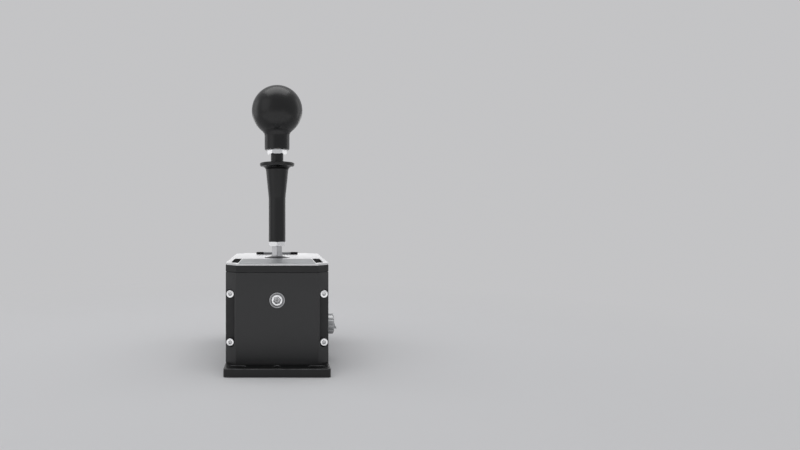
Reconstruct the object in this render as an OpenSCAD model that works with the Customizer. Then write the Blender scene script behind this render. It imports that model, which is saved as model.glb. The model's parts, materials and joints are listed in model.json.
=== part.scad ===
// Gear shifter with a tilting lever, a lift collar and a slotted base.
// Origin at the centre of the underside, +Z up, front towards -Y. Millimetres.

/* [Body] */
// Width of the body and its base, side to side
body_w = 95; // [86:1:110]
// Depth of the body, front to back
body_d = 165; // [148:1:190]
// Height of the walls above the base plate
wall_h = 83.2; // [80:0.1:88]
// Thickness of the side plates
side_t = 9; // [7:0.5:10]
// Leg of the chamfer on the upright corners
corner_c = 10; // [8:0.5:11]
// Metal left under the heads of the panel screws
seat_t = 3.5; // [2.5:0.5:6]
// Pocket floor in front of the chamfer's rear edge
floor_rise = 0.5; // [0.2:0.1:1.5]
// Room around a screw head in its pocket
pocket_room = 0.8; // [0.4:0.1:1.5]
// Height of the lower panel screws above the underside
low_screw_z = 26.7; // [20:0.1:32]
// Height of the upper panel screws above the underside
high_screw_z = 71; // [60:0.1:78]

/* [Base] */
// Thickness of the base plate
base_t = 7.7; // [6:0.1:10]
// Length of the base in front of and behind the body
base_lip = 16; // [13:0.5:30]
// Radius of the base corners
base_r = 2.5; // [1:0.5:6]
// Length of a mounting slot, end to end
slot_l = 14.5; // [10:0.5:20]
// Width of a mounting slot
slot_w = 5.6; // [4.2:0.1:6.6]
// Distance of the slot centres from the sides of the base
slot_in = 11.8; // [11:0.1:20]
// Distance from the body face out to the slot centres
slot_out = 6.5; // [6:0.5:9]
// Diameter of the centre holes
centre_hole_d = 6; // [4:0.5:8]

/* [Top] */
// Thickness of the cap's deck under the top plate
deck_t = 5.5; // [3.5:0.1:6.5]
// Thickness of the top plate
plate_t = 3; // [2.6:0.1:4]
// Thickness of the top plate's visible edge
plate_edge = 1; // [0.8:0.1:1.4]
// Height of the shadow gap under the plate's edge
shadow_gap = 1; // [0.4:0.1:1.2]
// Depth of the shadow gap and of the seam below the cap
step_in = 1; // [0.8:0.1:1.6]
// Height of the seam between the cap and the walls
seam_h = 0.5; // [0.3:0.1:1]
// Thickness of the inlays in the top plate
inlay_t = 0.6; // [0.4:0.1:0.7]
// Metal left between a dark strip and the front band
land_w = 0.8; // [0.5:0.1:2]
// Gap around an inlay
inlay_gap = 0.1; // [0.05:0.05:0.2]
// Distance from the lever's middle to the rear edge of the front band
band_back = 18.5; // [16:0.5:30]
// Distance of the dark strips from the sides
strip_in = 4.5; // [2.5:0.1:5]
// Width of the dark strips
strip_w = 7.2; // [4:0.1:8]
// Length of the dark strips
strip_l = 59; // [20:1:60]
// Distance from the front edge to the rear end of the strips
strip_back = 65; // [62:1:72]
// Width of the rear slot, end to end
rear_slot_w = 48; // [40:0.2:56]
// Depth of the rear slot, front to back
rear_slot_d = 8; // [5:0.5:10]
// Distance of the rear slot's middle from the rear edge
rear_slot_in = 18; // [14:0.5:24]
// Length of the bar in the rear slot
rear_bar_w = 31; // [20:1:36]
// Height of the rear bar and its ends above the top plate
bar_rise = 2.2; // [0.5:0.1:3]
// Depth of the rear slot's floor below the plate
rear_slot_t = 1.6; // [1.2:0.1:2]

/* [Lever] */
// Height of the lever's pivot and the adjuster above the underside
pivot_z = 66; // [64:0.1:68]
// Largest fore and aft tilt of the lever, in degrees
tilt_max = 7.5; // [5:0.5:8]
// Largest side to side sway of the lever, in degrees
sway_max = 7.5; // [6:0.5:8]
// Diameter of the lever rod
rod_d = 10; // [9:0.5:10.2]
// Width across the flats of the rod's hexagon
hex_af = 10.4; // [10.4:0.1:11.5]
// Visible length of the rod's hexagon
hex_h = 10.9; // [6:0.1:16]
// Height of the dome's crown above the top plate
dome_proud = 2; // [1.6:0.1:3]
// Thickness of the dome
dome_t = 2; // [1.2:0.1:2.5]
// Gap between the dome and the top plate
dome_gap = 0.5; // [0.4:0.1:0.8]
// Angle from the dome's crown to its rim, in degrees
dome_angle = 35; // [34:1:38]
// Diameter of the dome's hub
hub_d = 14; // [13:0.5:16]
// Width across the flats of the thin nut under the collar
thin_nut_af = 17; // [16:0.5:19]
// Height of the thin nut
thin_nut_h = 4.4; // [3:0.1:6]
// Width across the flats of the jam nut under the knob
jam_nut_af = 18; // [16:0.5:22]
// Height of the jam nut
jam_nut_h = 4.6; // [4:0.1:8]
// Diameter of the upper shaft
shaft_d = 13.3; // [12.8:0.1:13.4]

/* [Collar] */
// Length of the lift collar
collar_l = 82.6; // [80:0.1:95]
// Outer diameter of the collar's straight part
collar_d = 17.8; // [17.6:0.1:20]
// Outer diameter at the top of the collar's taper
taper_d = 23.9; // [22:0.1:27]
// Height of the straight part
collar_straight = 45.3; // [44:0.1:55]
// Diameter of the collar's flange
flange_d = 36.6; // [32:0.1:42]
// Thickness of the flange's round rim
rim_t = 4; // [3:0.1:4.4]
// Height of the flare from the taper to the top of the flange
flare_h = 8.3; // [6:0.1:10]
// Travel of the collar
collar_lift = 8; // [5:0.5:8]
// Room left above the lifted collar
lift_room = 0.8; // [0.4:0.1:2]
// Height of the grub screw above the collar's lower end
grub_up = 46.3; // [45.5:0.1:47]

/* [Knob] */
// Diameter of the ball
ball_d = 53; // [45:0.5:60]
// Height of the ball's centre above the knob's lower face
ball_up = 41; // [40:0.5:48]
// Diameter of the knob's neck
neck_d = 26.2; // [24:0.1:30]
// Height of the neck below its blend into the ball
neck_h = 13.2; // [8:0.2:15]
// Diameter of the threaded insert
insert_d = 18; // [15:0.5:20]
// Length of the threaded insert
insert_l = 22; // [15:0.5:24]

/* [Mechanism] */
// Diameter of the cradle's drum face
drum_d = 48; // [46:1:52]
// Length of the cradle, side to side
cradle_l = 44; // [42:1:46]
// Height of the cradle
cradle_h = 22; // [20:1:22]
// Width of the cradle's window, side to side
window_w = 30; // [28:0.5:31]
// Depth of the cradle's window, front to back
window_d = 26; // [25:0.5:27]
// Width of the lever block
block_w = 22; // [21:0.5:23]
// Gap between the lever block and the window, front and back
block_gap = 0.9; // [0.4:0.1:1.2]
// Side of the lever block's square leg
leg_w = 10; // [9:0.5:11]
// Length from the pivot to the middle of the guide pin's tip
arm_l = 46; // [45:0.5:47]
// Diameter of the guide pin's tip
tip_d = 3.6; // [3.2:0.1:4]
// Play of the tip in the gate, each side
tip_play = 0.3; // [0.3:0.05:0.5]
// Thickness of the gate plate
gate_t = 3; // [2:0.5:4]
// Diameter of the cradle's shafts
axle_d = 10; // [8:0.5:12]
// Outer diameter of the bearings
bearing_d = 19; // [18:0.5:22]
// Width of the bearings
bearing_w = 5; // [4:0.5:5]
// Diameter of the lever's pivot pins
pin_d = 6; // [5:0.5:7]
// Radial running clearance
run_gap = 0.05; // [0.02:0.01:0.1]
// Gap between the friction pad and the drum
pad_gap = 0.3; // [0.3:0.05:0.5]

/* [Adjuster] */
// Diameter of the adjuster's ring
ring_d = 13.6; // [13:0.1:15]
// Wall of the adjuster's ring
ring_wall = 1.1; // [0.8:0.1:1.3]
// Height of the ring in front of the panel
ring_proud = 0.6; // [0.3:0.1:1.5]
// Diameter of the adjuster screw's face
face_d = 9.7; // [9:0.1:10]
// Width across the flats of its hexagon socket
socket_af = 6; // [5:0.5:6.5]
// Diameter of its thread
thread_d = 8; // [6:0.5:8.5]
// Side of the square bore that guides the seat and the pad
bore_w = 12; // [11.5:0.1:12.5]

/* [Selector] */
// Distance of the selector's axis in front of the middle
selector_y = 29; // [27:0.5:33]
// Height of the selector's axis above the underside
selector_z = 35.6; // [30:0.1:38]
// Diameter of the selector knob
selector_d = 20.5; // [18:0.5:24]
// Thickness of the selector knob's disc
selector_t = 6.9; // [6:0.1:10]
// Number of flutes round the selector knob
flute_n = 12; // [8:1:16]
// Diameter of a flute
flute_d = 3.4; // [2.4:0.1:4]
// Depth of a flute
flute_depth = 0.7; // [0.3:0.1:1]
// Height of the grip above the disc
grip_h = 2.2; // [1.5:0.1:5]
// Width of the grip's sloping face
grip_w = 5.9; // [4:0.1:8]

/* [Rear socket] */
// Height of the data socket above the underside
data_z = 30; // [28:0.5:34]
// Width of the socket's opening
data_w = 9.8; // [9:0.1:12]
// Height of the socket's opening
data_h = 7; // [6:0.1:9]
// Wall of the socket
data_wall = 1.6; // [1.2:0.1:2]

/* [Hidden] */
$fn = 64;
eps = 0.01;
// Threaded and seated pieces stand this far from their holes
seat_gap = 0.05;
// Flat faces of moving pieces that meet at rest
rest_gap = 0.1;

// Heights
wall_z = base_t + wall_h;
deck_z = wall_z + deck_t;
plate_z = deck_z + plate_t;
rim_z = plate_z - plate_edge - shadow_gap;
dome_r = plate_z + dome_proud - pivot_z;
hex_r = hex_af / 2 / cos(30);
spot_r = hex_r + 0.25;
hex_z = pivot_z + sqrt(dome_r * dome_r - spot_r * spot_r);
thin_nut_z = hex_z + hex_h;
collar_z = thin_nut_z + thin_nut_h + rest_gap;
collar_top = collar_z + collar_l;
jam_nut_z = collar_top + collar_lift + lift_room;
knob_z = jam_nut_z + jam_nut_h;
ball_z = knob_z + ball_up;

// Panels, their screws and the walls
panel_t = corner_c - floor_rise + seat_t;
front_y = -body_d / 2;
inner_y = front_y + panel_t;
floor_y = front_y + panel_t - seat_t;
screw_x = body_w / 2 - side_t / 2;
inner_x = body_w / 2 - side_t;
m4_d = 4;
m4_head_d = 7;
m4_head_h = 4;
m4_key = 3;
m4_bite = 10;
upright_in = 18;
upright_y = body_d / 2 - panel_t - upright_in;
m3_d = 3;
m3_head_d = 5.5;
m3_head_h = 2;
m3_key = 2;
m3_sink_d = 6;
m3_sink_key = 1.2;
m3_bite = 8;
clear_gap = 0.2;

// Top plate
hole_r = dome_r + dome_gap;
band_w = body_w - 2 * (strip_in + strip_w + land_w);
band_d = body_d / 2 - band_back;
strip_x = body_w / 2 - strip_in - strip_w;
rear_slot_y = body_d / 2 - rear_slot_in;

// Lever block, cradle and gate
drum_r = drum_d / 2;
block_d = window_d - 2 * block_gap;
block_h = cradle_h;
block_top = pivot_z + block_h / 2;
block_low = pivot_z - block_h / 2;
pin_in = 4;
pin_back = 2;
rod_low = pivot_z + pin_d / 2 + 1.2;
rod_end = knob_z + insert_l - 2;
tip_z = pivot_z - arm_l;
leg_low = tip_z + gate_t / 2 + 8.2;
guide_d = tip_d - 0.6;
guide_in = 10;
spring_drop = 18;
lug_t = 4;
lug_low = spring_drop + 5.3;
lug_front = 6;
lug_rear = 17;
bar_t = 3;
gate_x = arm_l * sin(sway_max);
gate_y = arm_l * sin(tilt_max);
gate_slot_w = tip_d + 2 * tip_play;
gate_rim_x = 14;
gate_rim_y = 11;
post_in = 4;
gate_w = 2 * (gate_x + gate_rim_x);
gate_d = 2 * (gate_y + gate_rim_y);
post_x = gate_w / 2 - post_in;
post_y = gate_d / 2 - post_in;
post_d = 6;
gate_low = tip_z - gate_t / 2;
axle_in = window_w / 2 + 0.5;
axle_out = inner_x + bearing_w - rest_gap;
spacer_wall = 2;
magnet_wall = 4;
spacer_d = axle_d + 2 * spacer_wall;
tilt_magnet_d = spacer_d + 2 * magnet_wall;
tilt_magnet_t = 3;
board_t = 1.6;
chip_t = 1.2;
chip_w = 5;
chip_h = 4;
magnet_in = 4;
tilt_board_w = 24;
tilt_board_up = 8;
tilt_board_down = 3;
sway_board_w = 18;
sway_board_h = 8;
sway_magnet_d = 6;
sway_magnet_t = 3;
rear_bar_h = 9;
centring_d = 6.4;
centring_wire_d = 0.9;
centring_pitch = 2;
lift_wire_d = 1.2;
lift_pitch = 4.5;

// Collar's inside, measured up from its lower end
foot_h = 5.3;
washer_t = 2;
washer_up = 38.3;
neck_low = washer_up + washer_t + 2;
neck_top = grub_up + 3.5;
guide_up = 66;
cavity_d = collar_d - 3.2;
washer_d = cavity_d - 0.6;
shaft_low = collar_z + neck_top + collar_lift + 0.3;
pull_d = 4;
pull_gap = 0.3;
pull_low = rod_low + 5.5;
pull_top = collar_z + grub_up + 4;
pull_magnet_l = 4;
grub_d = 4;
dog_d = 2.9;
slot_play = 0.35;

// Adjuster, from the ring's face inwards
ring_id = ring_d - 2 * ring_wall;
ring_back = inner_y - 2;
clip_t = 0.6;
clip_y = front_y + 2.4;
face_y = front_y + 0.1;
collar_flange_y = clip_y + clip_t + seat_gap;
tube_d = bore_w * sqrt(2) + 3;
tube_flange_w = tube_d + 7;
tube_flange_t = 3;
tube_end = -drum_r - 5;
pad_l = 9;
seat_l = 4;
seat_room = 6;
pad_back = -drum_r - pad_l;
seat_y = inner_y + seat_room;
spring_l = pad_back - seat_y - seat_l;
preload_wire_d = 1.2;
preload_pitch = 2.2;
thread_end = seat_y + seat_l + spring_l / 2;
slide_gap = 0.1;
tube_screw = tube_flange_w / 2 - 3.2;

// Selector
selector_x = body_w / 2;
bush_flange_t = 1.5;
bush_flange_d = 14;
bush_d = 10;
knob_x = selector_x + bush_flange_t + 0.3;
selector_shaft_d = 6;
cam_t = 4.5;
selector_rim_c = 1.2;
grip_top = 2.2;
grip_edge = 0.6;
cam_x = inner_x - 6;
cam_r = 6;
lobe_r = 9.2;
switch_w = 6;
switch_gap = 0.5;
plunger_l = 1.5;
switch_y = -selector_y + lobe_r + switch_gap + plunger_l;

// Control board and socket
board_stand = 5.4;
board_y = -inner_y - board_stand;
board_w = 56;
board_drop = 10;
board_low = data_z - board_drop;
post_bite = 4;
hole_in = 4;
board_h = 44;
board_post_d = 5;
data_depth = 12;

// Shared shapes

// Round bar along X from x0 to x1
module bar_x(d, x0, x1)
    translate([x0, 0, 0]) rotate([0, 90, 0]) cylinder(d = d, h = x1 - x0);

// Round bar along Y from y0 to y1
module bar_y(d, y0, y1)
    translate([0, y0, 0]) rotate([-90, 0, 0]) cylinder(d = d, h = y1 - y0);

// Box between two corners
module block_between(low, high)
    translate(low) cube(high - low);

// Children on both sides of the middle plane
module both_sides() {
    children();
    mirror([1, 0, 0]) children();
}

// Children at the four corners of a rectangle
module four_corners(x, y)
    for (side_x = [-1, 1], side_y = [-1, 1])
        translate([side_x * x, side_y * y, 0]) children();

// Body outline with chamfered corners, drawn in by a margin
module body_outline(margin = 0) {
    x = body_w / 2 - margin;
    y = body_d / 2 - margin;
    c = corner_c - margin * (2 - sqrt(2));
    polygon([[x - c, -y], [x, -y + c], [x, y - c], [x - c, y],
        [-x + c, y], [-x, y - c], [-x, -y + c], [-x + c, -y]]);
}

// Socket screw, head upwards from its seat at z = 0
module socket_screw(d, head_d, head_h, key, l) {
    difference() {
        union() {
            cylinder(d = head_d, h = head_h);
            translate([0, 0, -l]) cylinder(d = d, h = l + eps);
        }
        translate([0, 0, head_h / 2]) cylinder(d = key / cos(30), h = head_h, $fn = 6);
    }
}

// Countersunk screw, face upwards at z = 0
module sunk_screw(l)
    difference() {
        union() {
            sunk_head(0);
            translate([0, 0, -l]) cylinder(d = m3_d, h = l - eps);
        }
        translate([0, 0, -m3_sink_key]) cylinder(d = m3_key / cos(30), h = 2 * m3_sink_key, $fn = 6);
    }

// Cone of a countersunk head, with room around it
module sunk_head(room) {
    depth = (m3_sink_d - m3_d) / 2;
    translate([0, 0, -depth])
        cylinder(d1 = m3_d + 2 * room, d2 = m3_sink_d + 2 * room, h = depth);
}

// Countersink for such a screw, open above its face
module sunk_hole() {
    sunk_head(seat_gap);
    translate([0, 0, -eps]) cylinder(d = m3_sink_d + 2 * seat_gap, h = 1);
}

// Hexagon nut with a plain bore
module hex_nut(af, h)
    difference() {
        intersection() {
            cylinder(d = af / cos(30), h = h, $fn = 6);
            union() {
                cylinder(d1 = af * 1.02, d2 = af / cos(30) + 0.2, h = h * 0.18);
                translate([0, 0, h * 0.18 - eps]) cylinder(d = af / cos(30) + 0.2, h = h * 0.64 + 2 * eps);
                translate([0, 0, h * 0.82])
                    cylinder(d1 = af / cos(30) + 0.2, d2 = af * 1.02, h = h * 0.18);
            }
        }
        translate([0, 0, -1]) cylinder(d = rod_d + 2 * seat_gap, h = h + 2);
    }

// Compression spring along Z: a round wire swept along a helix, from z = 0 to z = l
module coil_spring(mean_d, wire_d, turns, l) {
    sides = 6;
    rings_per_turn = 10;
    rings = turns * rings_per_turn;
    pitch = (l - wire_d) / turns;
    points = [for (i = [0 : rings], k = [0 : sides - 1])
        let (turn = 360 * i / rings_per_turn,
            around = 360 * k / sides,
            r = mean_d / 2 + wire_d / 2 * cos(around))
        [r * cos(turn), r * sin(turn), wire_d / 2 + pitch * i / rings_per_turn + wire_d / 2 * sin(around)]];
    skin = [for (i = [0 : rings - 1], k = [0 : sides - 1], half = [0, 1])
        let (a = i * sides + k, b = i * sides + (k + 1) % sides)
        half == 0 ? [a, b, b + sides] : [a, b + sides, a + sides]];
    last = rings * sides;
    start_cap = [for (k = [1 : sides - 2]) [0, k + 1, k]];
    end_cap = [for (k = [1 : sides - 2]) [last, last + k, last + k + 1]];
    echo(str("spring ", l, " mm long, least gap between turns ", pitch - wire_d, " mm"));
    polyhedron(points = points, faces = concat(skin, start_cap, end_cap), convexity = 10);
}

// Places shared by a panel and its screws, at the seats of the heads
module panel_screw_places()
    for (z = [low_screw_z, high_screw_z], side = [-1, 1])
        translate([side * screw_x, floor_y, z]) rotate([90, 0, 0]) children();

// Panel blank for the front, with chamfers, screw pockets and screw holes
module panel_blank() {
    pocket_d = m4_head_d + 2 * pocket_room;
    difference() {
        translate([0, 0, base_t]) linear_extrude(wall_h)
            intersection() {
                body_outline();
                translate([-body_w, front_y - 1]) square([2 * body_w, panel_t + 1]);
            }
        both_sides() {
            for (z = [low_screw_z, high_screw_z])
                translate([screw_x, 0, z]) bar_y(pocket_d, front_y - 1, floor_y);
            block_between([screw_x - pocket_d / 2, front_y - 1, low_screw_z],
                [screw_x + pocket_d / 2, floor_y, high_screw_z]);
        }
        panel_screw_places()
            translate([0, 0, -seat_t - 1]) cylinder(d = m4_d + 2 * clear_gap, h = seat_t + 2);
    }
}

// Upright screws through the base and the cap, at the side plates' middles
module upright_places()
    four_corners(screw_x, upright_y) children();

// Body

module base_plate() color("#1b1b1d")
    difference() {
        linear_extrude(base_t)
            union() {
                square([body_w - 2 * base_r, body_d + 2 * base_lip], center = true);
                square([body_w, body_d + 2 * base_lip - 2 * base_r], center = true);
                four_corners(body_w / 2 - base_r, body_d / 2 + base_lip - base_r) circle(base_r);
            }
        four_corners(body_w / 2 - slot_in, body_d / 2 + slot_out)
            translate([0, 0, -1]) linear_extrude(base_t + 2)
                union() {
                    square([slot_l - slot_w, slot_w], center = true);
                    for (side = [-1, 1]) translate([side * (slot_l - slot_w) / 2, 0]) circle(d = slot_w);
                }
        for (side = [-1, 1])
            translate([0, side * (body_d / 2 + slot_out), -1]) cylinder(d = centre_hole_d, h = base_t + 2);
        upright_places() {
            translate([0, 0, -1]) cylinder(d = m3_d + 2 * clear_gap, h = base_t + 2);
            mirror([0, 0, 1]) sunk_hole();
        }
        four_corners(post_x, post_y) translate([0, 0, -1]) cylinder(d = m3_d + 2 * clear_gap, h = base_t + 2);
        four_corners(post_x, post_y)
            translate([0, 0, -1]) cylinder(d = m3_head_d + 0.5, h = 1 + m3_head_h + 0.4);
    }

module front_panel() color("#232325")
    difference() {
        panel_blank();
        translate([0, 0, pivot_z]) {
            bar_y(ring_d + 2 * seat_gap, front_y - 1, ring_back);
            bar_y(ring_id - 1, ring_back - 1, inner_y + 1);
        }
        translate([0, 0, pivot_z]) tube_screw_places() bar_y(m3_d + 2 * seat_gap, inner_y - 5, inner_y + 1);
    }

module rear_panel() color("#232325")
    difference() {
        rotate([0, 0, 180]) panel_blank();
        translate([0, -inner_y, data_z])
            block_between([-data_w / 2 - data_wall - clear_gap, -1, -data_h / 2 - data_wall - clear_gap],
                [data_w / 2 + data_wall + clear_gap, panel_t + 1, data_h / 2 + data_wall + clear_gap]);
        board_post_places() bar_y(m3_d + 2 * seat_gap, -inner_y - 1, -inner_y + post_bite + 1);
    }

// Side plate on the right, before the selector's hole
module side_plate_blank()
    difference() {
        block_between([inner_x, inner_y, base_t], [body_w / 2, -inner_y, wall_z]);
        for (z = [low_screw_z, high_screw_z])
            translate([screw_x, 0, z]) {
                bar_y(m4_d + 2 * seat_gap, inner_y - 1, inner_y + m4_bite + 1);
                bar_y(m4_d + 2 * seat_gap, -inner_y - m4_bite - 1, -inner_y + 1);
            }
        for (side = [-1, 1])
            translate([screw_x, side * upright_y, 0]) {
                translate([0, 0, base_t - 1]) cylinder(d = m3_d + 2 * seat_gap, h = m3_bite + 2);
                translate([0, 0, wall_z - m3_bite - 1]) cylinder(d = m3_d + 2 * seat_gap, h = m3_bite + 2);
            }
        translate([0, 0, pivot_z]) bar_x(bearing_d + 2 * seat_gap, inner_x - 1, inner_x + bearing_w);
    }

module right_side_plate() color("#1f1f21")
    difference() {
        side_plate_blank();
        translate([0, -selector_y, selector_z]) bar_x(bush_d + 2 * seat_gap, inner_x - 1, body_w / 2 + 1);
    }

module left_side_plate() color("#1f1f21")
    mirror([1, 0, 0]) side_plate_blank();

module top_cap() color("#1d1d1f")
    difference() {
        union() {
            translate([0, 0, wall_z]) linear_extrude(seam_h + eps) body_outline(step_in);
            translate([0, 0, wall_z + seam_h]) linear_extrude(rim_z - wall_z - seam_h) body_outline();
        }
        translate([0, 0, deck_z]) linear_extrude(plate_t) body_outline(step_in);
        translate([0, 0, pivot_z]) sphere(hole_r);
        upright_places() {
            translate([0, 0, wall_z - 1]) cylinder(d = m3_d + 2 * clear_gap, h = deck_t + 2);
            translate([0, 0, deck_z]) sunk_hole();
        }
    }

// Outline of the left dark strip, its front edge parallel to the body's chamfer
module strip_outline(margin) {
    back = front_y + strip_back;
    front = back - strip_l;
    polygon([[-strip_x - strip_w + margin, back - margin], [-strip_x - margin, back - margin],
        [-strip_x - margin, front + margin * (1 + sqrt(2))],
        [-strip_x - strip_w + margin, front + strip_w + margin * (sqrt(2) - 1)]]);
}

// Outline of the front band, open to the plate's front edge
module band_outline(margin)
    intersection() {
        translate([-band_w / 2 + margin, front_y - 1]) square([band_w - 2 * margin, band_d + 1 - margin]);
        body_outline();
    }

// Slot with round ends along X
module rear_slot_outline(margin = 0) {
    span = rear_slot_w - rear_slot_d;
    square([span, rear_slot_d - 2 * margin], center = true);
    for (side = [-1, 1]) translate([side * span / 2, 0]) circle(d = rear_slot_d - 2 * margin);
}

module top_plate() color("#cfd0d2")
    difference() {
        union() {
            translate([0, 0, deck_z])
                linear_extrude(plate_t - plate_edge + eps) body_outline(step_in + seat_gap);
            translate([0, 0, plate_z - plate_edge]) linear_extrude(plate_edge) body_outline();
        }
        translate([0, 0, pivot_z]) sphere(hole_r);
        translate([0, 0, plate_z - inlay_t]) linear_extrude(plate_t) {
            band_outline(0);
            both_sides() strip_outline(0);
        }
        translate([0, rear_slot_y, plate_z - rear_slot_t]) linear_extrude(plate_t) rear_slot_outline();
    }

module front_band() color("#9b9da0")
    translate([0, 0, plate_z - inlay_t]) linear_extrude(inlay_t) band_outline(inlay_gap);

module side_strips() color("#202124")
    translate([0, 0, plate_z - inlay_t]) linear_extrude(inlay_t) both_sides() strip_outline(inlay_gap);

module rear_bar() color("#8d8f92")
    translate([0, rear_slot_y, plate_z - rear_slot_t])
        linear_extrude(rear_slot_t + bar_rise)
            square([rear_bar_w, rear_slot_d - 2 * inlay_gap], center = true);

// Dark end blocks in the rear slot, either side of the bar
module bar_ends() color("#1b1c1e")
    translate([0, rear_slot_y, plate_z - rear_slot_t]) both_sides()
        linear_extrude(rear_slot_t + bar_rise) intersection() {
            rear_slot_outline(inlay_gap);
            translate([rear_bar_w / 2 + inlay_gap, -rear_slot_d]) square([rear_slot_w, 2 * rear_slot_d]);
        }

// Fasteners

module front_screws() color("#d8d9db")
    panel_screw_places() socket_screw(m4_d, m4_head_d, m4_head_h, m4_key, seat_t + m4_bite);

module rear_screws() color("#d8d9db")
    rotate([0, 0, 180]) panel_screw_places()
        socket_screw(m4_d, m4_head_d, m4_head_h, m4_key, seat_t + m4_bite);

module base_screws() color("#3a3b3d")
    upright_places() mirror([0, 0, 1]) sunk_screw(base_t + m3_bite);

module cap_screws() color("#3a3b3d")
    upright_places() translate([0, 0, deck_z]) sunk_screw(deck_t + m3_bite);

// Adjuster and friction brake

module adjuster_ring() color("#c9cacc")
    translate([0, 0, pivot_z]) difference() {
        bar_y(ring_d, front_y - ring_proud, ring_back - seat_gap);
        bar_y(ring_id, front_y - ring_proud - 1, ring_back - 2);
        bar_y(thread_d + 1.4, ring_back - 3, ring_back + 1);
    }

module adjuster_clip() color("#8a8b8d")
    translate([0, 0, pivot_z]) difference() {
        bar_y(ring_id - 2 * seat_gap, clip_y, clip_y + clip_t);
        bar_y(face_d + 0.6, clip_y - 1, clip_y + clip_t + 1);
        block_between([-0.6, clip_y - 1, -ring_d], [0.6, clip_y + clip_t + 1, 0]);
    }

module adjuster_screw() color("#dddee0")
    translate([0, 0, pivot_z]) difference() {
        union() {
            bar_y(face_d, face_y, collar_flange_y + eps);
            bar_y(ring_id - 2 * run_gap, collar_flange_y, ring_back - 2 - rest_gap);
            bar_y(thread_d, ring_back - 2 - rest_gap - eps, thread_end);
        }
        translate([0, face_y + 3.2, 0]) rotate([90, 0, 0]) cylinder(d = socket_af / cos(30), h = 4, $fn = 6);
    }

module spring_seat() color("#b9a35a")
    translate([0, 0, pivot_z]) difference() {
        block_between([-bore_w / 2 + slide_gap, seat_y, -bore_w / 2 + slide_gap],
            [bore_w / 2 - slide_gap, seat_y + seat_l, bore_w / 2 - slide_gap]);
        bar_y(thread_d + 2 * run_gap, seat_y - 1, seat_y + seat_l + 1);
    }

module preload_spring() color("#a7a9ab")
    translate([0, seat_y + seat_l, pivot_z]) rotate([-90, 0, 0])
        coil_spring((thread_d + bore_w) / 2, preload_wire_d,
            floor((spring_l - preload_wire_d) / preload_pitch + eps), spring_l);

module friction_pad() color("#b08d3c")
    translate([0, 0, pivot_z]) difference() {
        block_between([-bore_w / 2 + slide_gap, pad_back, -bore_w / 2 + slide_gap],
            [bore_w / 2 - slide_gap, 0, bore_w / 2 - slide_gap]);
        bar_x(drum_d + 2 * pad_gap, -bore_w, bore_w);
    }

module tube_screw_places()
    for (x = [-1, 1], z = [-1, 1]) translate([x * tube_screw, 0, z * tube_screw]) children();

module pad_tube() color("#6e7073")
    translate([0, 0, pivot_z]) difference() {
        union() {
            bar_y(tube_d, inner_y, tube_end);
            block_between([-tube_flange_w / 2, inner_y, -tube_flange_w / 2],
                [tube_flange_w / 2, inner_y + tube_flange_t, tube_flange_w / 2]);
        }
        block_between([-bore_w / 2, inner_y - 1, -bore_w / 2], [bore_w / 2, tube_end + 1, bore_w / 2]);
        tube_screw_places() bar_y(m3_d + 2 * clear_gap, inner_y - 1, inner_y + tube_flange_t + 1);
    }

module tube_screws() color("#3a3b3d")
    translate([0, inner_y + tube_flange_t, pivot_z]) tube_screw_places()
        rotate([-90, 0, 0]) socket_screw(m3_d, m3_head_d, m3_head_h, m3_key, tube_flange_t + 4);

// Cradle

module cradle() color("#7d8084")
    translate([0, 0, pivot_z]) difference() {
        union() {
            intersection() {
                bar_x(drum_d, -cradle_l / 2, cradle_l / 2);
                cube([cradle_l + 2, drum_d + 2, cradle_h], center = true);
            }
            both_sides()
                block_between([cradle_l / 2 - lug_t, -lug_front, -lug_low],
                    [cradle_l / 2, lug_rear, -cradle_h / 2 + 1]);
            block_between([-cradle_l / 2, lug_rear - bar_t, -lug_low],
                [cradle_l / 2, lug_rear, -lug_low + rear_bar_h]);
        }
        cube([window_w, window_d, cradle_h + 2], center = true);
        both_sides() bar_x(axle_d + 2 * seat_gap, axle_in - 1, cradle_l);
        bar_y(pin_d + 2 * seat_gap, -drum_r - 1, drum_r + 1);
    }

module cradle_axles() color("#c4c6c8")
    translate([0, 0, pivot_z]) both_sides() bar_x(axle_d, axle_in, axle_out);

module axle_spacers() color("#55575a")
    translate([0, 0, pivot_z]) both_sides() difference() {
        bar_x(spacer_d, cradle_l / 2, inner_x - rest_gap);
        bar_x(axle_d + 2 * seat_gap, cradle_l / 2 - 1, inner_x + 1);
    }

module axle_bearings() color("#c9cbcd")
    translate([0, 0, pivot_z]) both_sides() difference() {
        bar_x(bearing_d, inner_x, inner_x + bearing_w);
        bar_x(axle_d + 2 * run_gap, inner_x - 1, inner_x + bearing_w + 1);
    }

module tilt_magnet() color("#9a9ca0")
    translate([0, 0, pivot_z]) difference() {
        bar_x(tilt_magnet_d, -inner_x + magnet_in, -inner_x + magnet_in + tilt_magnet_t);
        bar_x(spacer_d + 2 * seat_gap, -inner_x, 0);
    }

module tilt_sensor() color("#1f5c3a")
    translate([-inner_x, 0, pivot_z]) difference() {
        union() {
            block_between([0, -tilt_board_w / 2, -spacer_d / 2 - tilt_board_down],
                [board_t, tilt_board_w / 2, tilt_magnet_d / 2 + tilt_board_up]);
            translate([board_t - eps, 0, tilt_magnet_d / 2])
                block_between([0, -chip_w / 2, -chip_h * 5 / 8], [chip_t + eps, chip_w / 2, chip_h * 3 / 8]);
        }
        bar_x(spacer_d + 2, -1, board_t + 1);
    }

// The sway sensor sits on the cradle's rear bar, facing the lever's leg
module sway_sensor() color("#1f5c3a")
    translate([0, lug_rear - bar_t, pivot_z - lug_low]) {
        translate([0, 0, (rear_bar_h - sway_board_h) / 2])
            block_between([-sway_board_w / 2, -board_t, 0], [sway_board_w / 2, 0, sway_board_h]);
        translate([0, -board_t, rear_bar_h / 2])
            block_between([-chip_w / 2, -chip_t, -chip_h / 2], [chip_w / 2, eps, chip_h / 2]);
    }

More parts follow.
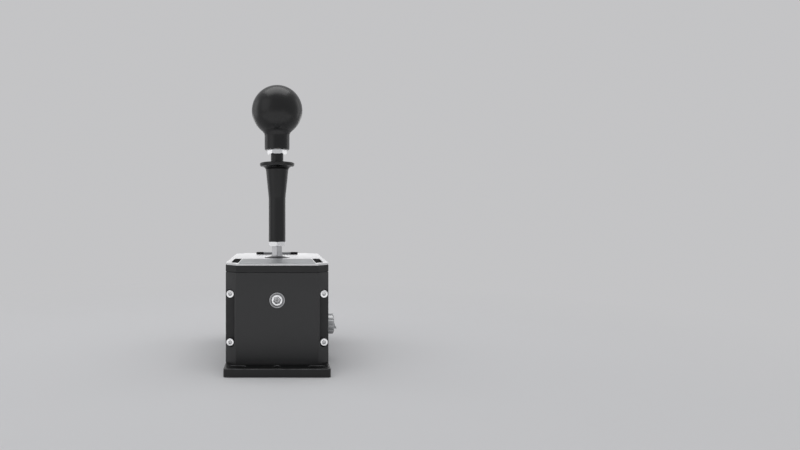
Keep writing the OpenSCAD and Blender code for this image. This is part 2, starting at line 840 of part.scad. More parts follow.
module sway_magnet() color("#9a9ca0")
    translate([0, 0, pivot_z - lug_low + rear_bar_h / 2])
        bar_y(sway_magnet_d, leg_w / 2, leg_w / 2 + sway_magnet_t);

// Lever

module lever_block() color("#8b8e92")
    difference() {
        union() {
            translate([0, 0, pivot_z]) cube([block_w, block_d, block_h], center = true);
            block_between([-leg_w / 2, -leg_w / 2, leg_low], [leg_w / 2, leg_w / 2, block_low + 1]);
        }
        translate([0, 0, pivot_z]) bar_y(pin_d + 2 * run_gap, -block_d, block_d);
        translate([0, 0, rod_low]) cylinder(d = rod_d + 2 * seat_gap, h = block_h);
        translate([0, 0, leg_low - 1]) cylinder(d = guide_d + 2 * seat_gap, h = guide_in + 1);
    }

module pivot_pins() color("#c4c6c8")
    translate([0, 0, pivot_z]) for (side = [0, 180])
        rotate([0, 0, side]) bar_y(pin_d, pin_in, drum_r - pin_back);

module guide_pin() color("#c4c6c8") {
    translate([0, 0, tip_z]) cylinder(d = guide_d, h = leg_low + guide_in - tip_z);
    translate([0, 0, tip_z]) sphere(d = tip_d);
}

module gate_plate() color("#a9abae")
    translate([0, 0, gate_low]) difference() {
        translate([-gate_w / 2, -gate_d / 2, 0]) cube([gate_w, gate_d, gate_t]);
        translate([0, 0, -1]) linear_extrude(gate_t + 2) {
            square([2 * gate_x, gate_slot_w], center = true);
            for (column = [-1, 0, 1]) translate([column * gate_x, 0]) {
                square([gate_slot_w, 2 * gate_y], center = true);
                for (end = [-1, 1]) translate([0, end * gate_y]) circle(d = gate_slot_w);
            }
        }
        four_corners(post_x, post_y) translate([0, 0, -1]) cylinder(d = m3_d + 2 * clear_gap, h = gate_t + 2);
    }

module gate_posts() color("#b4b6b8")
    four_corners(post_x, post_y) translate([0, 0, base_t]) difference() {
        cylinder(d = post_d, h = gate_low - base_t);
        translate([0, 0, -1]) cylinder(d = m3_d + 2 * seat_gap, h = gate_low - base_t + 2);
    }

// Upper screws hold the gate to its posts, lower ones hold the posts to the base
module gate_screws() color("#3a3b3d")
    four_corners(post_x, post_y) {
        bite = (gate_low - base_t) / 2 - 0.3;
        translate([0, 0, gate_low + gate_t]) socket_screw(m3_d, m3_head_d, m3_head_h, m3_key, gate_t + bite);
        translate([0, 0, m3_head_h + 0.4]) mirror([0, 0, 1])
            socket_screw(m3_d, m3_head_d, m3_head_h, m3_key, base_t - m3_head_h - 0.4 + bite);
    }

module centring_springs() color("#a7a9ab")
    both_sides() translate([leg_w / 2 + seat_gap, 0, pivot_z - spring_drop]) rotate([0, 90, 0]) {
        l = cradle_l / 2 - lug_t - leg_w / 2 - 2 * seat_gap;
        coil_spring(centring_d, centring_wire_d, floor((l - centring_wire_d) / centring_pitch + eps), l);
    }

module lever_rod() color("#cfd1d3")
    difference() {
        union() {
            translate([0, 0, rod_low]) cylinder(d = rod_d, h = rod_end - rod_low);
            translate([0, 0, hex_z]) rotate(30) cylinder(r = hex_r, h = hex_h, $fn = 6);
        }
        translate([0, 0, rod_low - 1])
            cylinder(d = pull_d + 2 * pull_gap, h = pull_top + collar_lift + pull_gap + 1 - rod_low);
        block_between([0, -dog_d / 2 - slot_play, collar_z + grub_up - dog_d / 2 - slot_play],
            [rod_d, dog_d / 2 + slot_play, collar_z + grub_up + collar_lift + dog_d / 2 + slot_play]);
    }

module dust_dome() color("#3f4042")
    translate([0, 0, pivot_z]) difference() {
        union() {
            rotate_extrude() intersection() {
                difference() {
                    circle(dome_r);
                    circle(dome_r - dome_t);
                }
                polygon([[0, 0], [2 * dome_r * sin(dome_angle), 2 * dome_r * cos(dome_angle)],
                    [0, 2 * dome_r]]);
            }
            translate([0, 0, block_h / 2]) cylinder(d = hub_d, h = hex_z - pivot_z - block_h / 2 - 1);
        }
        translate([0, 0, hex_z - pivot_z]) cylinder(r = spot_r, h = dome_r);
        cylinder(d = rod_d + 2 * seat_gap, h = 2 * dome_r);
    }

module thin_nut() color("#d8d9db")
    translate([0, 0, thin_nut_z]) rotate(30) hex_nut(thin_nut_af, thin_nut_h);

module upper_shaft() color("#1c1c1e")
    translate([0, 0, shaft_low]) difference() {
        cylinder(d = shaft_d, h = jam_nut_z - shaft_low);
        translate([0, 0, -1]) cylinder(d = rod_d + 2 * seat_gap, h = jam_nut_z - shaft_low + 2);
    }

module jam_nut() color("#d8d9db")
    translate([0, 0, jam_nut_z]) hex_nut(jam_nut_af, jam_nut_h);

// The knob's blend is a circle that touches the neck and the ball
module knob() color("#161617")
    translate([0, 0, knob_z]) {
        r = ball_d / 2;
        rise = ball_up - neck_h;
        blend_r = (r * r - neck_d * neck_d / 4 - rise * rise) / (neck_d - 2 * r);
        blend_x = neck_d / 2 + blend_r;
        rotate_extrude() difference() {
            union() {
                intersection() {
                    translate([0, ball_up]) circle(r);
                    translate([0, ball_up - r]) square([r, 2 * r]);
                }
                square([neck_d / 2, ball_up]);
                difference() {
                    polygon([[0, neck_h], [blend_x, neck_h], [0, ball_up]]);
                    translate([blend_x, neck_h]) circle(blend_r);
                }
            }
            translate([0, -1]) square([insert_d / 2 + seat_gap, insert_l + 1]);
        }
    }

module knob_insert() color("#b79a4b")
    translate([0, 0, knob_z]) difference() {
        cylinder(d = insert_d, h = insert_l);
        translate([0, 0, -1]) cylinder(d = rod_d + 2 * seat_gap, h = insert_l);
    }

// Lift collar

// Half outline of the collar's outside: straight foot, taper, concave flare and round rim
module collar_outside() {
    rim_x = flange_d / 2 - rim_t / 2;
    flare_z = collar_l - flare_h;
    flare_r = flare_h - rim_t;
    polygon([[0, 0], [collar_d / 2, 0], [collar_d / 2, collar_straight], [taper_d / 2, flare_z],
        [taper_d / 2, collar_l], [0, collar_l]]);
    translate([rim_x, collar_l - rim_t / 2]) circle(rim_t / 2);
    translate([0, collar_l - rim_t]) square([rim_x, rim_t]);
    difference() {
        translate([0, flare_z]) square([taper_d / 2 + flare_r, flare_r + eps]);
        translate([taper_d / 2 + flare_r, flare_z]) circle(flare_r);
    }
}

// Half outline of the collar's bores, from its foot to its flange
module collar_inside() {
    steps = [[-1, rod_d / 2 + run_gap], [foot_h, cavity_d / 2], [neck_low, rod_d / 2 + 0.3],
        [neck_top, shaft_d / 2 + 0.35], [guide_up, shaft_d / 2 + run_gap], [collar_l + 1, 0]];
    for (i = [0 : len(steps) - 2])
        translate([0, steps[i][0] - (i > 0 ? eps : 0)])
            square([steps[i][1], steps[i + 1][0] - steps[i][0] + eps]);
}

module lift_collar() color("#1e1e20")
    translate([0, 0, collar_z]) difference() {
        rotate_extrude() difference() {
            collar_outside();
            collar_inside();
        }
        translate([0, 0, grub_up]) bar_x(grub_d + 2 * seat_gap, 0, flange_d);
    }

module collar_grub() color("#c9cbcd")
    translate([0, 0, collar_z + grub_up]) difference() {
        union() {
            bar_x(grub_d, rod_d / 2 + 0.5, collar_d / 2 + 0.4);
            bar_x(dog_d, 0.5, rod_d / 2 + 0.5 + eps);
        }
        translate([collar_d / 2 - 1.1, 0, 0]) rotate([0, 90, 0]) cylinder(d = 2 / cos(30), h = 3, $fn = 6);
    }

module pull_rod() color("#b4b6b8")
    difference() {
        translate([0, 0, pull_low + pull_magnet_l])
            cylinder(d = pull_d, h = pull_top - pull_low - pull_magnet_l);
        translate([0, 0, collar_z + grub_up]) bar_x(dog_d + 2 * seat_gap, 0, pull_d);
    }

module pull_magnet() color("#9a9ca0")
    translate([0, 0, pull_low]) cylinder(d = pull_d, h = pull_magnet_l);

module collar_sensor() color("#1f5c3a")
    translate([block_w / 2, 0, pivot_z]) {
        block_between([0, -5, -2], [1.2, 5, 10]);
        block_between([1.2 - eps, -2, 3], [1.9, 2, 7]);
    }

module lift_spring() color("#a7a9ab")
    translate([0, 0, collar_z + foot_h + seat_gap]) {
        l = washer_up - foot_h - 2 * seat_gap;
        coil_spring((rod_d + cavity_d) / 2, lift_wire_d, floor((l - lift_wire_d) / lift_pitch + eps), l);
    }

module spring_washer() color("#8a8b8d")
    translate([0, 0, collar_z + washer_up]) difference() {
        cylinder(d = washer_d, h = washer_t);
        translate([0, 0, -1]) cylinder(d = rod_d + 2 * seat_gap, h = washer_t + 2);
    }

// Selector

// Fluted disc with a wedge shaped grip across its face
module selector_knob() color("#c3c5c7")
    translate([knob_x, -selector_y, selector_z]) difference() {
        union() {
            bar_x(selector_d, 0, selector_t - selector_rim_c);
            translate([selector_t - selector_rim_c, 0, 0]) rotate([0, 90, 0])
                cylinder(d1 = selector_d, d2 = selector_d - 2 * selector_rim_c, h = selector_rim_c);
            intersection() {
                bar_x(selector_d - 2 * selector_rim_c, 0, selector_t + grip_h);
                rotate([90, 0, 0]) linear_extrude(2 * selector_d, center = true)
                    polygon([[selector_t - 1, grip_top], [selector_t, grip_top],
                        [selector_t + grip_h, grip_top - grip_w + grip_edge],
                        [selector_t + grip_h, grip_top - grip_w], [selector_t - 1, grip_top - grip_w]]);
            }
        }
        for (i = [0 : flute_n - 1])
            rotate([360 * i / flute_n, 0, 0])
                translate([0, -selector_d / 2 - flute_d / 2 + flute_depth, 0])
                    bar_x(flute_d, -1, selector_t + grip_h + 1);
        bar_x(selector_shaft_d + 2 * seat_gap, -1, selector_t - 2);
    }

module selector_shaft() color("#b4b6b8")
    translate([0, -selector_y, selector_z]) {
        bar_x(selector_shaft_d, cam_x - 1.5, knob_x + selector_t - 2.2);
        bar_x(2 * cam_r, cam_x, cam_x + cam_t);
        block_between([cam_x, -1.5, -lobe_r], [cam_x + cam_t, 1.5, 0]);
    }

module selector_bush() color("#b79a4b")
    translate([0, -selector_y, selector_z]) difference() {
        union() {
            bar_x(bush_d, inner_x, selector_x + eps);
            bar_x(bush_flange_d, selector_x, selector_x + bush_flange_t);
        }
        bar_x(selector_shaft_d + 2 * run_gap, inner_x - 1, selector_x + bush_flange_t + 1);
    }

module mode_switch() color("#26282b")
    translate([inner_x - switch_w, switch_y, selector_z]) {
        block_between([0, 0, -6], [switch_w, 10, 6]);
        translate([cam_x + cam_t / 2 - inner_x + switch_w, 0, 0]) bar_y(2, -plunger_l, eps);
    }

// Electronics

module board_post_places()
    for (x = [-1, 1], z = [hole_in, board_h - hole_in])
        translate([x * (board_w / 2 - hole_in), 0, board_low + z]) children();

module control_board() color("#1f5c3a")
    difference() {
        block_between([-board_w / 2, board_y - board_t, board_low],
            [board_w / 2, board_y, board_low + board_h]);
        board_post_places() bar_y(m3_d + 2 * clear_gap, board_y - board_t - 1, board_y + 1);
    }

// Board posts with their screw ends, from the board to the rear panel
module board_posts() color("#b4b6b8")
    board_post_places() {
        bar_y(board_post_d, board_y, -inner_y);
        bar_y(m3_d, board_y - board_t - 0.2, board_y + eps);
        bar_y(m3_head_d, board_y - board_t - m3_head_h, board_y - board_t);
        bar_y(m3_d, -inner_y - eps, -inner_y + post_bite);
    }

module data_socket() color("#121213")
    translate([0, 0, data_z]) difference() {
        block_between([-data_w / 2 - data_wall, board_y, -data_h / 2 - data_wall],
            [data_w / 2 + data_wall, body_d / 2 + 0.4, data_h / 2 + data_wall]);
        block_between([-data_w / 2, body_d / 2 - data_depth, -data_h / 2],
            [data_w / 2, body_d / 2 + 1, data_h / 2]);
    }

base_plate();
front_panel();
rear_panel();
left_side_plate();
right_side_plate();
top_cap();
top_plate();
front_band();
side_strips();
rear_bar();
bar_ends();
front_screws();
rear_screws();
base_screws();
cap_screws();
adjuster_ring();
adjuster_clip();
adjuster_screw();
spring_seat();
preload_spring();
friction_pad();
pad_tube();
tube_screws();
cradle();
cradle_axles();
axle_spacers();
axle_bearings();
tilt_magnet();
tilt_sensor();
sway_sensor();
sway_magnet();
lever_block();
pivot_pins();
guide_pin();
gate_plate();
gate_posts();
gate_screws();
centring_springs();
lever_rod();
dust_dome();
thin_nut();
upper_shaft();
jam_nut();
knob();
knob_insert();
lift_collar();
collar_grub();
pull_rod();
pull_magnet();
collar_sensor();
lift_spring();
spring_washer();
selector_knob();
selector_shaft();
selector_bush();
mode_switch();
control_board();
board_posts();
data_socket();
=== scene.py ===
import json
import math

import bmesh
import bpy
import numpy as np
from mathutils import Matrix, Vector
from mathutils.geometry import tessellate_polygon


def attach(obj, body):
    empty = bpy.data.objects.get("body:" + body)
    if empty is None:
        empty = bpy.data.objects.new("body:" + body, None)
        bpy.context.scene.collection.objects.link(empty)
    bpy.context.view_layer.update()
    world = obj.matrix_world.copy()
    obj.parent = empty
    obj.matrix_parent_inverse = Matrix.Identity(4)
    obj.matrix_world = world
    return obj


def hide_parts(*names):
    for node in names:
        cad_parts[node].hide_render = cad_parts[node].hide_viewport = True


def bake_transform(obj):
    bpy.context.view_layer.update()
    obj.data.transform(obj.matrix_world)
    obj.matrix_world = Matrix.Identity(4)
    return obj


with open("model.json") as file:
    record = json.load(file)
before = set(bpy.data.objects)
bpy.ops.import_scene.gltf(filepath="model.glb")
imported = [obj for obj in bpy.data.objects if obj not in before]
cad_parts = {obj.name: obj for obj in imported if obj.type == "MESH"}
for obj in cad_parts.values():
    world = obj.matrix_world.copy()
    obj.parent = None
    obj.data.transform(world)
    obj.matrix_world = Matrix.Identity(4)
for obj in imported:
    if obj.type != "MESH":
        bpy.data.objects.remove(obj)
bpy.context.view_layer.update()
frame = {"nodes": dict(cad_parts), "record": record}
scene = bpy.context.scene
scene.view_settings.view_transform = "Standard"
mm = 0.001  # shapes below are in millimetres
crisp = 0.02  # rounding of edges that are hardly seen
print("frame loaded,", len(frame["nodes"]), "nodes")


# Outlines and profiles

# equal angles round a full turn
def angles(count):
    return np.arange(count) * 2 * np.pi / count


# evenly spaced points on a circle
def circleLoop(radius, count=64, x=0.0, y=0.0):
    t = angles(count)
    return np.stack([x + radius * np.cos(t), y + radius * np.sin(t)], -1)


# each corner is replaced by an arc that touches both of its sides; the loop runs anticlockwise
def roundedLoop(corners, radius, steps=5):
    p = np.asarray(corners, float)
    r = np.zeros(len(p)) + radius
    a = np.roll(p, 1, 0) - p
    b = np.roll(p, -1, 0) - p
    return cornerArcs(p, a, b, r, steps).reshape(-1, 2)


# arc points for corners p with side directions a and b: the centre lies on the bisector
def cornerArcs(p, a, b, r, steps):
    a = a / np.linalg.norm(a, axis=1)[:, None]
    b = b / np.linalg.norm(b, axis=1)[:, None]
    half = np.arccos(np.clip((a * b).sum(1), -0.999999, 0.999999)) / 2
    reach = (r / np.tan(half))[:, None]
    bisector = (a + b) / np.linalg.norm(a + b, axis=1)[:, None]
    centre = p + bisector * (r / np.sin(half))[:, None]
    first = p + a * reach - centre
    last = p + b * reach - centre
    start = np.arctan2(first[:, 1], first[:, 0])
    turn = (np.arctan2(last[:, 1], last[:, 0]) - start + np.pi) % (2 * np.pi) - np.pi
    angle = start[:, None] + turn[:, None] * np.linspace(0, 1, steps + 1)
    return centre[:, None, :] + r[:, None, None] * np.stack([np.cos(angle), np.sin(angle)], -1)


# open path with its inner corners rounded; small arcs count as worn edges
def softPath(points, radius, steps=4, wornBelow=1.3):
    p = np.asarray(points, float)
    r = np.maximum(np.zeros(len(p) - 2) + radius, 0.004)
    arcs = cornerArcs(p[1:-1], p[:-2] - p[1:-1], p[2:] - p[1:-1], r, steps)
    path = np.concatenate([p[:1], arcs.reshape(-1, 2), p[-1:]])
    wearAndShade = np.zeros((len(r), steps + 1))
    wearAndShade[:, :steps] = ((r > 0.02) & (r < wornBelow))[:, None]
    return path, np.concatenate([[0.0], wearAndShade.reshape(-1)])


# every point moves inwards along the mean of its two side normals, so that each side moves by the margin
def insetLoop(loop, margin):
    side = np.roll(loop, -1, 0) - loop
    length = np.maximum(np.linalg.norm(side, axis=1), 1e-9)[:, None]
    normal = np.stack([-side[:, 1], side[:, 0]], -1) / length
    before = np.roll(normal, 1, 0)
    share = np.maximum(1 + (normal * before).sum(1), 0.2)[:, None]
    return loop + margin * (normal + before) / share


# slot with round ends, along the first axis
def slotLoop(length, width, x=0.0, y=0.0, steps=14):
    a, b = length / 2, width / 2
    return roundedLoop([[-a, -b], [a, -b], [a, b], [-a, b]], b * 0.9999, steps) + [x, y]


# box corners, anticlockwise
def boxLoop(x0, y0, x1, y1):
    return np.array([[x0, y0], [x1, y0], [x1, y1], [x0, y1]], float)


# distance of a hexagon's side from its middle, at equal angles
def hexRadius(steps, flats, turn=0.0):
    return flats / 2 / np.cos((angles(steps) - turn + np.pi / 6) % (np.pi / 3) - np.pi / 6)


# Patches: points, faces and one value for each face, above nought for a worn edge and below nought for painted shade

# quads between neighbouring rows of a grid of points, closed round each row when wrap is on
def sweepPatch(rows, wearAndShade=0.0, wrap=True):
    rows = np.asarray(rows, float)
    m, n = rows.shape[:2]
    r = np.arange(m - 1)[:, None]
    c = np.arange(n if wrap else n - 1)[None, :]
    d = (c + 1) % n
    faces = np.stack([r * n + c, r * n + d, (r + 1) * n + d, (r + 1) * n + c], -1).reshape(-1, 4)
    return rows.reshape(-1, 3), faces, np.repeat(np.zeros(m - 1) + wearAndShade, c.size)


# flat face between an outline and its holes
def capPatch(loops, place, *height, wearAndShade=0.0):
    faces = np.array(tessellate_polygon([list(map(Vector, flatUp(loop, 0.0))) for loop in loops]))
    return place(np.concatenate(loops), *height), faces, np.full(len(faces), wearAndShade)


# rows joined one after another, the first and last closed by a face that is flat across two of the axes
def barPatches(rows, across, wearAndShade=0.0):
    ends = [capPatch([row[:, across]], lambda q, row=row: row) for row in (rows[0], rows[-1])]
    return [sweepPatch(rows, wearAndShade)] + ends


# quarter round from a wall to a face: distance in from the wall, distance down from the face
def edgeRound(radius, steps=3):
    t = np.linspace(0, np.pi / 2, steps + 1)
    return radius * (1 - np.cos(t)), radius * (1 - np.sin(t))


# plate with holes between two heights, its edges rounded on both faces
def slabPatches(outer, holes, low, high, topEdge, lowEdge, place):
    patches, tops, lows = [], [], []
    inTop, downTop = edgeRound(topEdge)
    inLow, upLow = edgeRound(lowEdge)
    wearAndShade = [1] * 3 + [0] + [1] * 3
    for sign, loop in [(1, outer)] + [(-1, hole) for hole in holes]:
        rows = [place(insetLoop(loop, sign * i), low + d) for i, d in zip(inLow[::-1], upLow[::-1])]
        rows += [place(insetLoop(loop, sign * i), high - d) for i, d in zip(inTop, downTop)]
        patches.append(sweepPatch(rows, wearAndShade))
        tops.append(insetLoop(loop, sign * topEdge))
        lows.append(insetLoop(loop, sign * lowEdge))
    return patches + [capPatch(tops, place, high), capPatch(lows, place, low)]


# rings round an axis: each row is a radius and a height, the same all round or one for each angle
def turnedPatch(rows, place, steps=96, wearAndShade=0.0):
    t = angles(steps)
    radius, height = np.array([np.broadcast_arrays(r, h, t)[:2] for r, h in rows], float).swapaxes(0, 1)
    return sweepPatch(place(radius * np.cos(t), radius * np.sin(t), height), wearAndShade)


# where shapes go: the directions of their width, height and depth, then the place that they start from
def facing(wide, high, deep):
    axes = np.array([wide, high, deep])
    return lambda x=0.0, y=0.0, z=0.0: lambda a, b, h: np.stack(np.broadcast_arrays(a, b, h), -1) @ axes + [x, y, z]


# the same for an outline at one depth
def flat(turn):
    return lambda q, h: turn()(q[:, 0], q[:, 1], h)


right, rear, up = np.eye(3)
turnUp, turnFront, turnBack = facing(right, rear, up), facing(right, up, -rear), facing(-right, up, rear)
turnRight, turnLeft = facing(rear, up, right), facing(-rear, up, -right)
flatUp, flatBack, flatRight, flatLeft = map(flat, (turnUp, turnBack, turnRight, turnLeft))


def addObject(name, data):
    thing = bpy.data.objects.new(name, data)
    scene.collection.objects.link(thing)
    return thing


# joins patches into one closed piece, at its place, with flat shading kept across sharp angles;
# its finish is its slot's unless a look is named
def buildPiece(name, patches, body, node, slot, look=None, sharp=30):
    points, faces, wearAndShade, start = [], [], [], 0
    for p, f, e in patches:
        points.append(p)
        faces += (f + start).tolist()
        wearAndShade.append(e)
        start += len(p)
    mesh = bpy.data.meshes.new(name)
    mesh.from_pydata((np.concatenate(points) * mm).tolist(), [], faces)
    # per-face value: worn edges above nought, painted shade below nought
    edge = mesh.attributes.new("edge", "FLOAT", "FACE")
    edge.data.foreach_set("value", np.concatenate(wearAndShade).astype(np.float32))
    work = bmesh.new()
    work.from_mesh(mesh)
    bmesh.ops.remove_doubles(work, verts=work.verts, dist=1.5e-6)
    bmesh.ops.dissolve_degenerate(work, edges=work.edges, dist=1e-6)
    bmesh.ops.recalc_face_normals(work, faces=work.faces)
    work.to_mesh(mesh)
    work.free()
    mesh.shade_smooth()
    mesh.set_sharp_from_angle(angle=math.radians(sharp))
    mesh.materials.append(finishes[look or slot])
    piece = addObject(name, mesh)
    even = piece.modifiers.new("evenShade", "WEIGHTED_NORMAL")  # large faces stay flat up to their round edges
    even.mode = "FACE_AREA"
    even.keep_sharp = True
    if isinstance(body, str):
        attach(piece, body)
    else:
        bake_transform(piece)  # kept where it stands, not attached to any body
    if node:
        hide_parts(node)


# Finishes

# feeds a node's inputs: a constant goes on the socket itself, another socket is linked to it
def feed(tree, node, values):
    for label, value in values.items():
        if isinstance(value, bpy.types.NodeSocket):
            tree.links.new(value, node.inputs[label])
        else:
            node.inputs[label].default_value = value


def addNode(tree, kind, values={}, **settings):
    node = tree.nodes.new("ShaderNode" + kind)
    for label, value in settings.items():
        setattr(node, label, value)
    feed(tree, node, values)
    return node.outputs


def mathNode(tree, operation, a, b, clamp=False):
    return addNode(tree, "Math", {0: a, 1: b}, operation=operation, use_clamp=clamp)[0]


# value carried from one range to another
def rangeNode(tree, value, start=0.0, end=1.0, low=0.0, high=1.0, curve="LINEAR"):
    limits = {"Value": value, "From Min": start, "From Max": end, "To Min": low, "To Max": high}
    return addNode(tree, "MapRange", limits, interpolation_type=curve)["Result"]


# colour between two others
def mixNode(tree, share, a, b):
    return addNode(tree, "Mix", {0: share, 6: a, 7: b}, data_type="RGBA")[2]


def noiseNode(tree, vector, scale, **values):
    return addNode(tree, "TexNoise", dict(Vector=vector, Scale=scale, **values))["Fac"]


def objectPlace(tree):
    return addNode(tree, "TexCoord")["Object"]


# one for rays that are seen, mirrored or pass through, nought for those that only carry light
def seenRays(tree):
    rays = addNode(tree, "LightPath")
    seen = mathNode(tree, "ADD", rays["Is Camera Ray"], rays["Is Glossy Ray"])
    return mathNode(tree, "ADD", seen, rays["Is Transmission Ray"], True)


def newGroup(name, inputs, outputs):
    tree = bpy.data.node_groups.new(name, "ShaderNodeTree")
    for label, value in inputs.items():
        kind = "NodeSocketVector" if isinstance(value, tuple) else "NodeSocketFloat"
        tree.interface.new_socket(name=label, in_out="INPUT", socket_type=kind).default_value = value
    for label in outputs:
        tree.interface.new_socket(name=label, in_out="OUTPUT", socket_type="NodeSocketFloat")
    return tree, tree.nodes.new("NodeGroupInput").outputs, tree.nodes.new("NodeGroupOutput")


# fine surface grain: noise stretched by a different amount along each axis
def grainGroup():
    tree, given, result = newGroup("surfaceGrain", {"Scale": 900.0, "Stretch": (1, 1, 1)}, ["Value", "Height"])
    place = addNode(tree, "VectorMath", {0: objectPlace(tree), 1: given["Stretch"]}, operation="MULTIPLY")[0]
    noise = noiseNode(tree, place, given["Scale"], Detail=3.0, Roughness=0.6)
    feed(tree, result, {"Value": rangeNode(tree, noise, 0.3, 0.7), "Height": noise})
    return tree


# rubbed edges and painted shade in hollows: the piece's own edge value, above nought for rubbed edges and below
# nought for painted shade, broken up by noise
def wearAndShadeGroup():
    tree, given, result = newGroup("edgeWearAndShade", {"Amount": 0.5, "Scale": 160.0}, ["Mask", "ShadeMask"])
    edge = addNode(tree, "Attribute", attribute_name="edge")["Fac"]
    patchy = rangeNode(tree, noiseNode(tree, objectPlace(tree), given["Scale"], Detail=4.0), 0.25, 0.65)
    rubbed = mathNode(tree, "MULTIPLY", edge, patchy)
    # painted shade: faces marked below nought are darkened as if they lay in shadow
    hollow = mathNode(tree, "MULTIPLY", edge, -1.0)
    soft = mathNode(tree, "ADD", mathNode(tree, "MULTIPLY", patchy, 0.35), 0.65)
    feed(tree, result, {"Mask": mathNode(tree, "MULTIPLY", rubbed, given["Amount"], True),
                        "ShadeMask": mathNode(tree, "MULTIPLY", hollow, soft, True)})
    return tree


# handling marks: broad soft blotches of twisted noise
def marksGroup():
    tree, given, result = newGroup("handlingMarks", {"Scale": 22.0}, ["Value"])
    noise = noiseNode(tree, objectPlace(tree), given["Scale"], Detail=5.0, Distortion=0.6)
    feed(tree, result, {"Value": rangeNode(tree, noise, 0.32, 0.68)})
    return tree


surfaceGrain, edgeWearAndShade, handlingMarks = grainGroup(), wearAndShadeGroup(), marksGroup()
plainLook = dict(specular=0.5, anisotropic=0.0, grain=900.0, stretch=(1, 1, 1), marks=22.0, wear=0.4, tone=0.12,
                 metallic=0.0, spread=0.06, bump=0.06, depth=0.0001)


def makeFinish(name, look):
    look = {**plainLook, **look}
    finish = bpy.data.materials.new(name)
    finish.use_nodes = True
    tree = finish.node_tree
    grain = addNode(tree, "Group", {"Scale": look["grain"], "Stretch": look["stretch"]}, node_tree=surfaceGrain)
    marks = addNode(tree, "Group", {"Scale": look["marks"]}, node_tree=handlingMarks)
    wear = addNode(tree, "Group", {"Amount": look["wear"]}, node_tree=edgeWearAndShade)
    uneven = mathNode(tree, "ADD", mathNode(tree, "MULTIPLY", marks["Value"], 0.6),
                      mathNode(tree, "MULTIPLY", grain["Value"], 0.4))
    # colour: a little lighter and darker with the grain and the marks, then the bare edges and the painted shade in
    # hollows
    tone, colour = look["tone"], np.array(look["colour"])
    vary = mixNode(tree, uneven, (*(colour * (1 - tone)), 1), (*np.minimum(colour * (1 + tone), 1), 1))
    bare = mixNode(tree, wear["Mask"], vary, (*look.get("bare", colour * 1.6), 1))
    # painted shade: the colour falls to a dark shade colour where faces are marked below nought
    shaded = mixNode(tree, wear["ShadeMask"], bare, (*look.get("shadeColour", colour * 0.12), 1))
    # roughness: grain and marks about the middle value
    middle, spread = look["roughness"], look["spread"]
    rough = rangeNode(tree, uneven, 0, 1, middle - spread, middle + spread)
    bump = addNode(tree, "Bump", {"Strength": look["bump"], "Distance": look["depth"], "Height": grain["Height"]})
    shader, metallic = tree.nodes["Principled BSDF"], look["metallic"]
    feed(tree, shader, {
        "IOR": 1.5, "Specular IOR Level": look["specular"], "Anisotropic": look["anisotropic"],
        "Metallic": metallic, "Base Color": shaded, "Roughness": rough, "Normal": bump["Normal"]})
    if metallic < 1:  # painted shade: marked hollows lose their reflection as well
        feed(tree, shader, {"Metallic": mathNode(tree, "MAXIMUM", wear["ShadeMask"], metallic)})
    return finish


